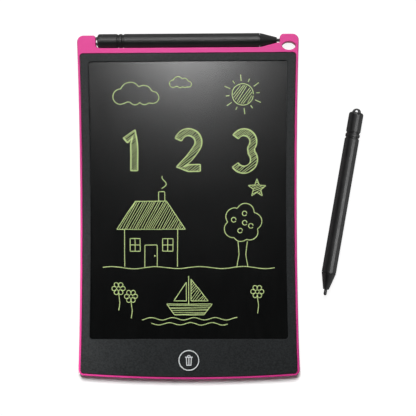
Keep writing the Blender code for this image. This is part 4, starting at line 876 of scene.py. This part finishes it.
CHIP_LEGS, SOCKET_LEGS = 4, 8                    # legs on each side of the chip, and of the socket
LEG_IN, OUTSIDE, LIFT = 0.25 * MM, 0.1 * MM, 0.1 * MM    # into the chip's side, off an end, off the board
blob_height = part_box("circuit_board")[1].z + LIFT
joints = []
low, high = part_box("driver_chip")
for i in range(CHIP_LEGS):
    for y in (low.y + LEG_IN, high.y - LEG_IN):
        joints.append((low.x + (high.x - low.x) * (i + 0.5) / CHIP_LEGS, y, blob_height))
for name in ("capacitor_1", "capacitor_2", "capacitor_3", "boost_inductor"):
    low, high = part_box(name)
    joints += [(x, (low.y + high.y) / 2, blob_height) for x in (low.x - OUTSIDE, high.x + OUTSIDE)]
low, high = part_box("tail_socket")
joints += [(low.x + (high.x - low.x) * (i + 0.5) / SOCKET_LEGS, low.y - OUTSIDE, blob_height)
           for i in range(SOCKET_LEGS)]
points = bpy.data.meshes.new("joint_points")
points.from_pydata(joints, [], [])
source = bpy.data.objects.new("joint_points", points)
scene.collection.objects.link(source)
solder = grow("board_solder", source, blob_tree(solder_finish()), BLOB_SIZES)
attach(solder, "tablet")
print("solder joints:", len(joints))

# %% [markdown]
# ## Floor and light
#
# The tablet lies on a plain white table. The camera sees the far part of it as plain white and, near the
# bottom edge, as a diffuse surface that brightens quickly, so the soft shadow there stays. Bounced
# light meets an ordinary pale floor, so the whiteness adds no light to the object. Its far rim turns up
# into a low wall, so a view from near the table's level has a pale backdrop too.

# %% White table and backdrop
TABLE_RADIUS, WALL_HEIGHT = 12.0, 2.6            # metres
TABLE_GAP = 0.05 * MM                            # between the table and the lowest point of the tablet
LIT_AT, PLAIN_AT = -0.108, -0.094                # metres along Y, where it starts and ends to turn plain
MOSTLY_PLAIN = 0.9                               # how plain it is from there on
FAR_FROM, FAR_AT = 0.15, 0.2                     # metres from the middle, where the rest turns plain too
LIT_COLOUR = (2.15, 2.15, 2.15, 1.0)             # over 1, so that only the shadow is darker than white


def table_finish():
    # What it gives the eye: plain white, and the shadow below the bottom edge.
    material = bpy.data.materials.new("white_table")
    material.use_nodes = True
    tree = material.node_tree
    tree.nodes.clear()
    path = add_node(tree, "ShaderNodeLightPath")
    seen = path.outputs["Is Camera Ray"]
    for kind in ("Is Glossy Ray", "Is Transmission Ray"):
        seen = add_node(tree, "ShaderNodeMath", {
            0: seen, 1: path.outputs[kind]}, operation="MAXIMUM").outputs[0]
    place = add_node(tree, "ShaderNodeTexCoord").outputs["Object"]
    along = add_node(tree, "ShaderNodeSeparateXYZ", {"Vector": place}).outputs["Y"]
    away = add_node(tree, "ShaderNodeVectorMath", {0: place}, operation="LENGTH").outputs["Value"]
    plainness = add_node(tree, "ShaderNodeMath", {
        0: spread_values(tree, along, LIT_AT, PLAIN_AT, 0.0, MOSTLY_PLAIN),
        1: spread_values(tree, away, FAR_FROM, FAR_AT, 0.0, 1.0)}, operation="MAXIMUM").outputs[0]
    glow = add_node(tree, "ShaderNodeEmission", {"Color": linear("#FFFFFF"), "Strength": 1.0}).outputs[0]
    lit = add_node(tree, "ShaderNodeBsdfDiffuse", {"Color": LIT_COLOUR}).outputs[0]
    white = add_node(tree, "ShaderNodeMixShader", {0: plainness, 1: lit, 2: glow}).outputs[0]
    plain = add_node(tree, "ShaderNodeBsdfDiffuse", {"Color": linear("#E6E6E6")}).outputs[0]
    shown = add_node(tree, "ShaderNodeMixShader", {0: seen, 1: plain, 2: white}).outputs[0]
    add_node(tree, "ShaderNodeOutputMaterial", {"Surface": shown})
    return material


bm = bmesh.new()
bmesh.ops.create_circle(bm, cap_ends=True, segments=64, radius=TABLE_RADIUS)
wall = bmesh.ops.extrude_edge_only(bm, edges=bm.edges[:])["geom"]
for vertex in bm.verts:
    vertex.co.z = cad_box[0][2] - TABLE_GAP + (WALL_HEIGHT if vertex in wall else 0.0)
mesh = bpy.data.meshes.new("table")
bm.to_mesh(mesh)
bm.free()
mesh.materials.append(table_finish())
table = bpy.data.objects.new("table", mesh)
scene.collection.objects.link(table)
print("table's height in mm:", round(min(vertex.co.z for vertex in mesh.vertices) / MM, 3))

# %% [markdown]
# ## Softboxes
#
# The main lamp is beyond the top edge: it throws that shadow and lights the upper side of the docked
# stylus. A narrow one overhead is what the film mirrors as a glow. Weaker ones at the left and the
# right light the rims, and the left one is kept off the table, where it would cast a second shadow.
#
# Light linking says which pieces a lamp reaches, the way a honeycomb keeps a studio lamp off the rest
# of the set. The photograph lights the spare stylus from its right, which no lamp for the tablet does,
# so it has a lamp of its own. A small strip close by gives the sheen on the lower left of the panel
# and the case, and the camera doesn't see it.

# %% Six softboxes and what they reach
def softbox(name, place, aim, size, watts):
    """A rectangular lamp at a place, turned to its aim; lengths in metres."""
    lamp = bpy.data.lights.new(name, "AREA")
    lamp.shape = "RECTANGLE"
    lamp.size, lamp.size_y = size
    lamp.energy = watts
    holder = bpy.data.objects.new(name, lamp)
    scene.collection.objects.link(holder)
    holder.location = place
    holder.rotation_euler = (Vector(aim) - Vector(place)).to_track_quat("-Z", "Y").to_euler()
    return holder


def link_light(lamp, pieces, state):
    """Let the lamp reach only these pieces (INCLUDE), or all but these (EXCLUDE)."""
    reach = bpy.data.collections.new(lamp.name + "_reach")
    for piece in pieces:
        reach.objects.link(piece)
    for entry in reach.collection_objects:
        entry.light_linking.link_state = state
    lamp.light_linking.receiver_collection = reach


spare = [node for name, node in nodes.items() if name.startswith("loose_stylus")]
LAMPS = {
    # name: place, aim, width and height in metres, and watts
    "top_softbox": ((0.0, 1.0, 1.45), (0.0, 0.0, 0.0), (0.8, 0.45), 14.0),
    "glow_softbox": ((-0.036, 0.256, 0.75), (0.0, 0.05, 0.0), (0.076, 0.14), 1.25),
    "left_softbox": ((-1.0, 0.45, 1.0), (0.0, 0.0, 0.0), (0.6, 0.7), 9.0),
    "right_softbox": ((0.9, 0.1, 0.85), (0.1, 0.0, 0.0), (0.9, 0.25), 0.4),
    "spare_softbox": ((0.63, -0.10, 0.98), (0.0975, 0.0025, 0.0), (0.3, 0.3), 8.5),
    "edge_softbox": ((-0.084, -0.066, 0.054), (-0.073, -0.066, 0.006), (0.12, 0.01), 0.023),
}
lamps = {name: softbox(name, *values) for name, values in LAMPS.items()}
lamps["edge_softbox"].visible_camera = False
link_light(lamps["glow_softbox"], spare, "EXCLUDE")
link_light(lamps["left_softbox"], spare + [table], "EXCLUDE")
link_light(lamps["spare_softbox"], spare, "INCLUDE")
link_light(lamps["edge_softbox"], [nodes["front_panel"], nodes["rear_case"]], "INCLUDE")

WORLD_LEVEL = 0.03                               # from all around, so that no hollow goes quite black
world = bpy.data.worlds.new("studio")
world.use_nodes = True
background = world.node_tree.nodes["Background"]
background.inputs["Color"].default_value = linear("#FFFFFF")
background.inputs["Strength"].default_value = WORLD_LEVEL
scene.world = world
print("lamps:", len(lamps), "and pieces with a lamp of their own:", len(spare))
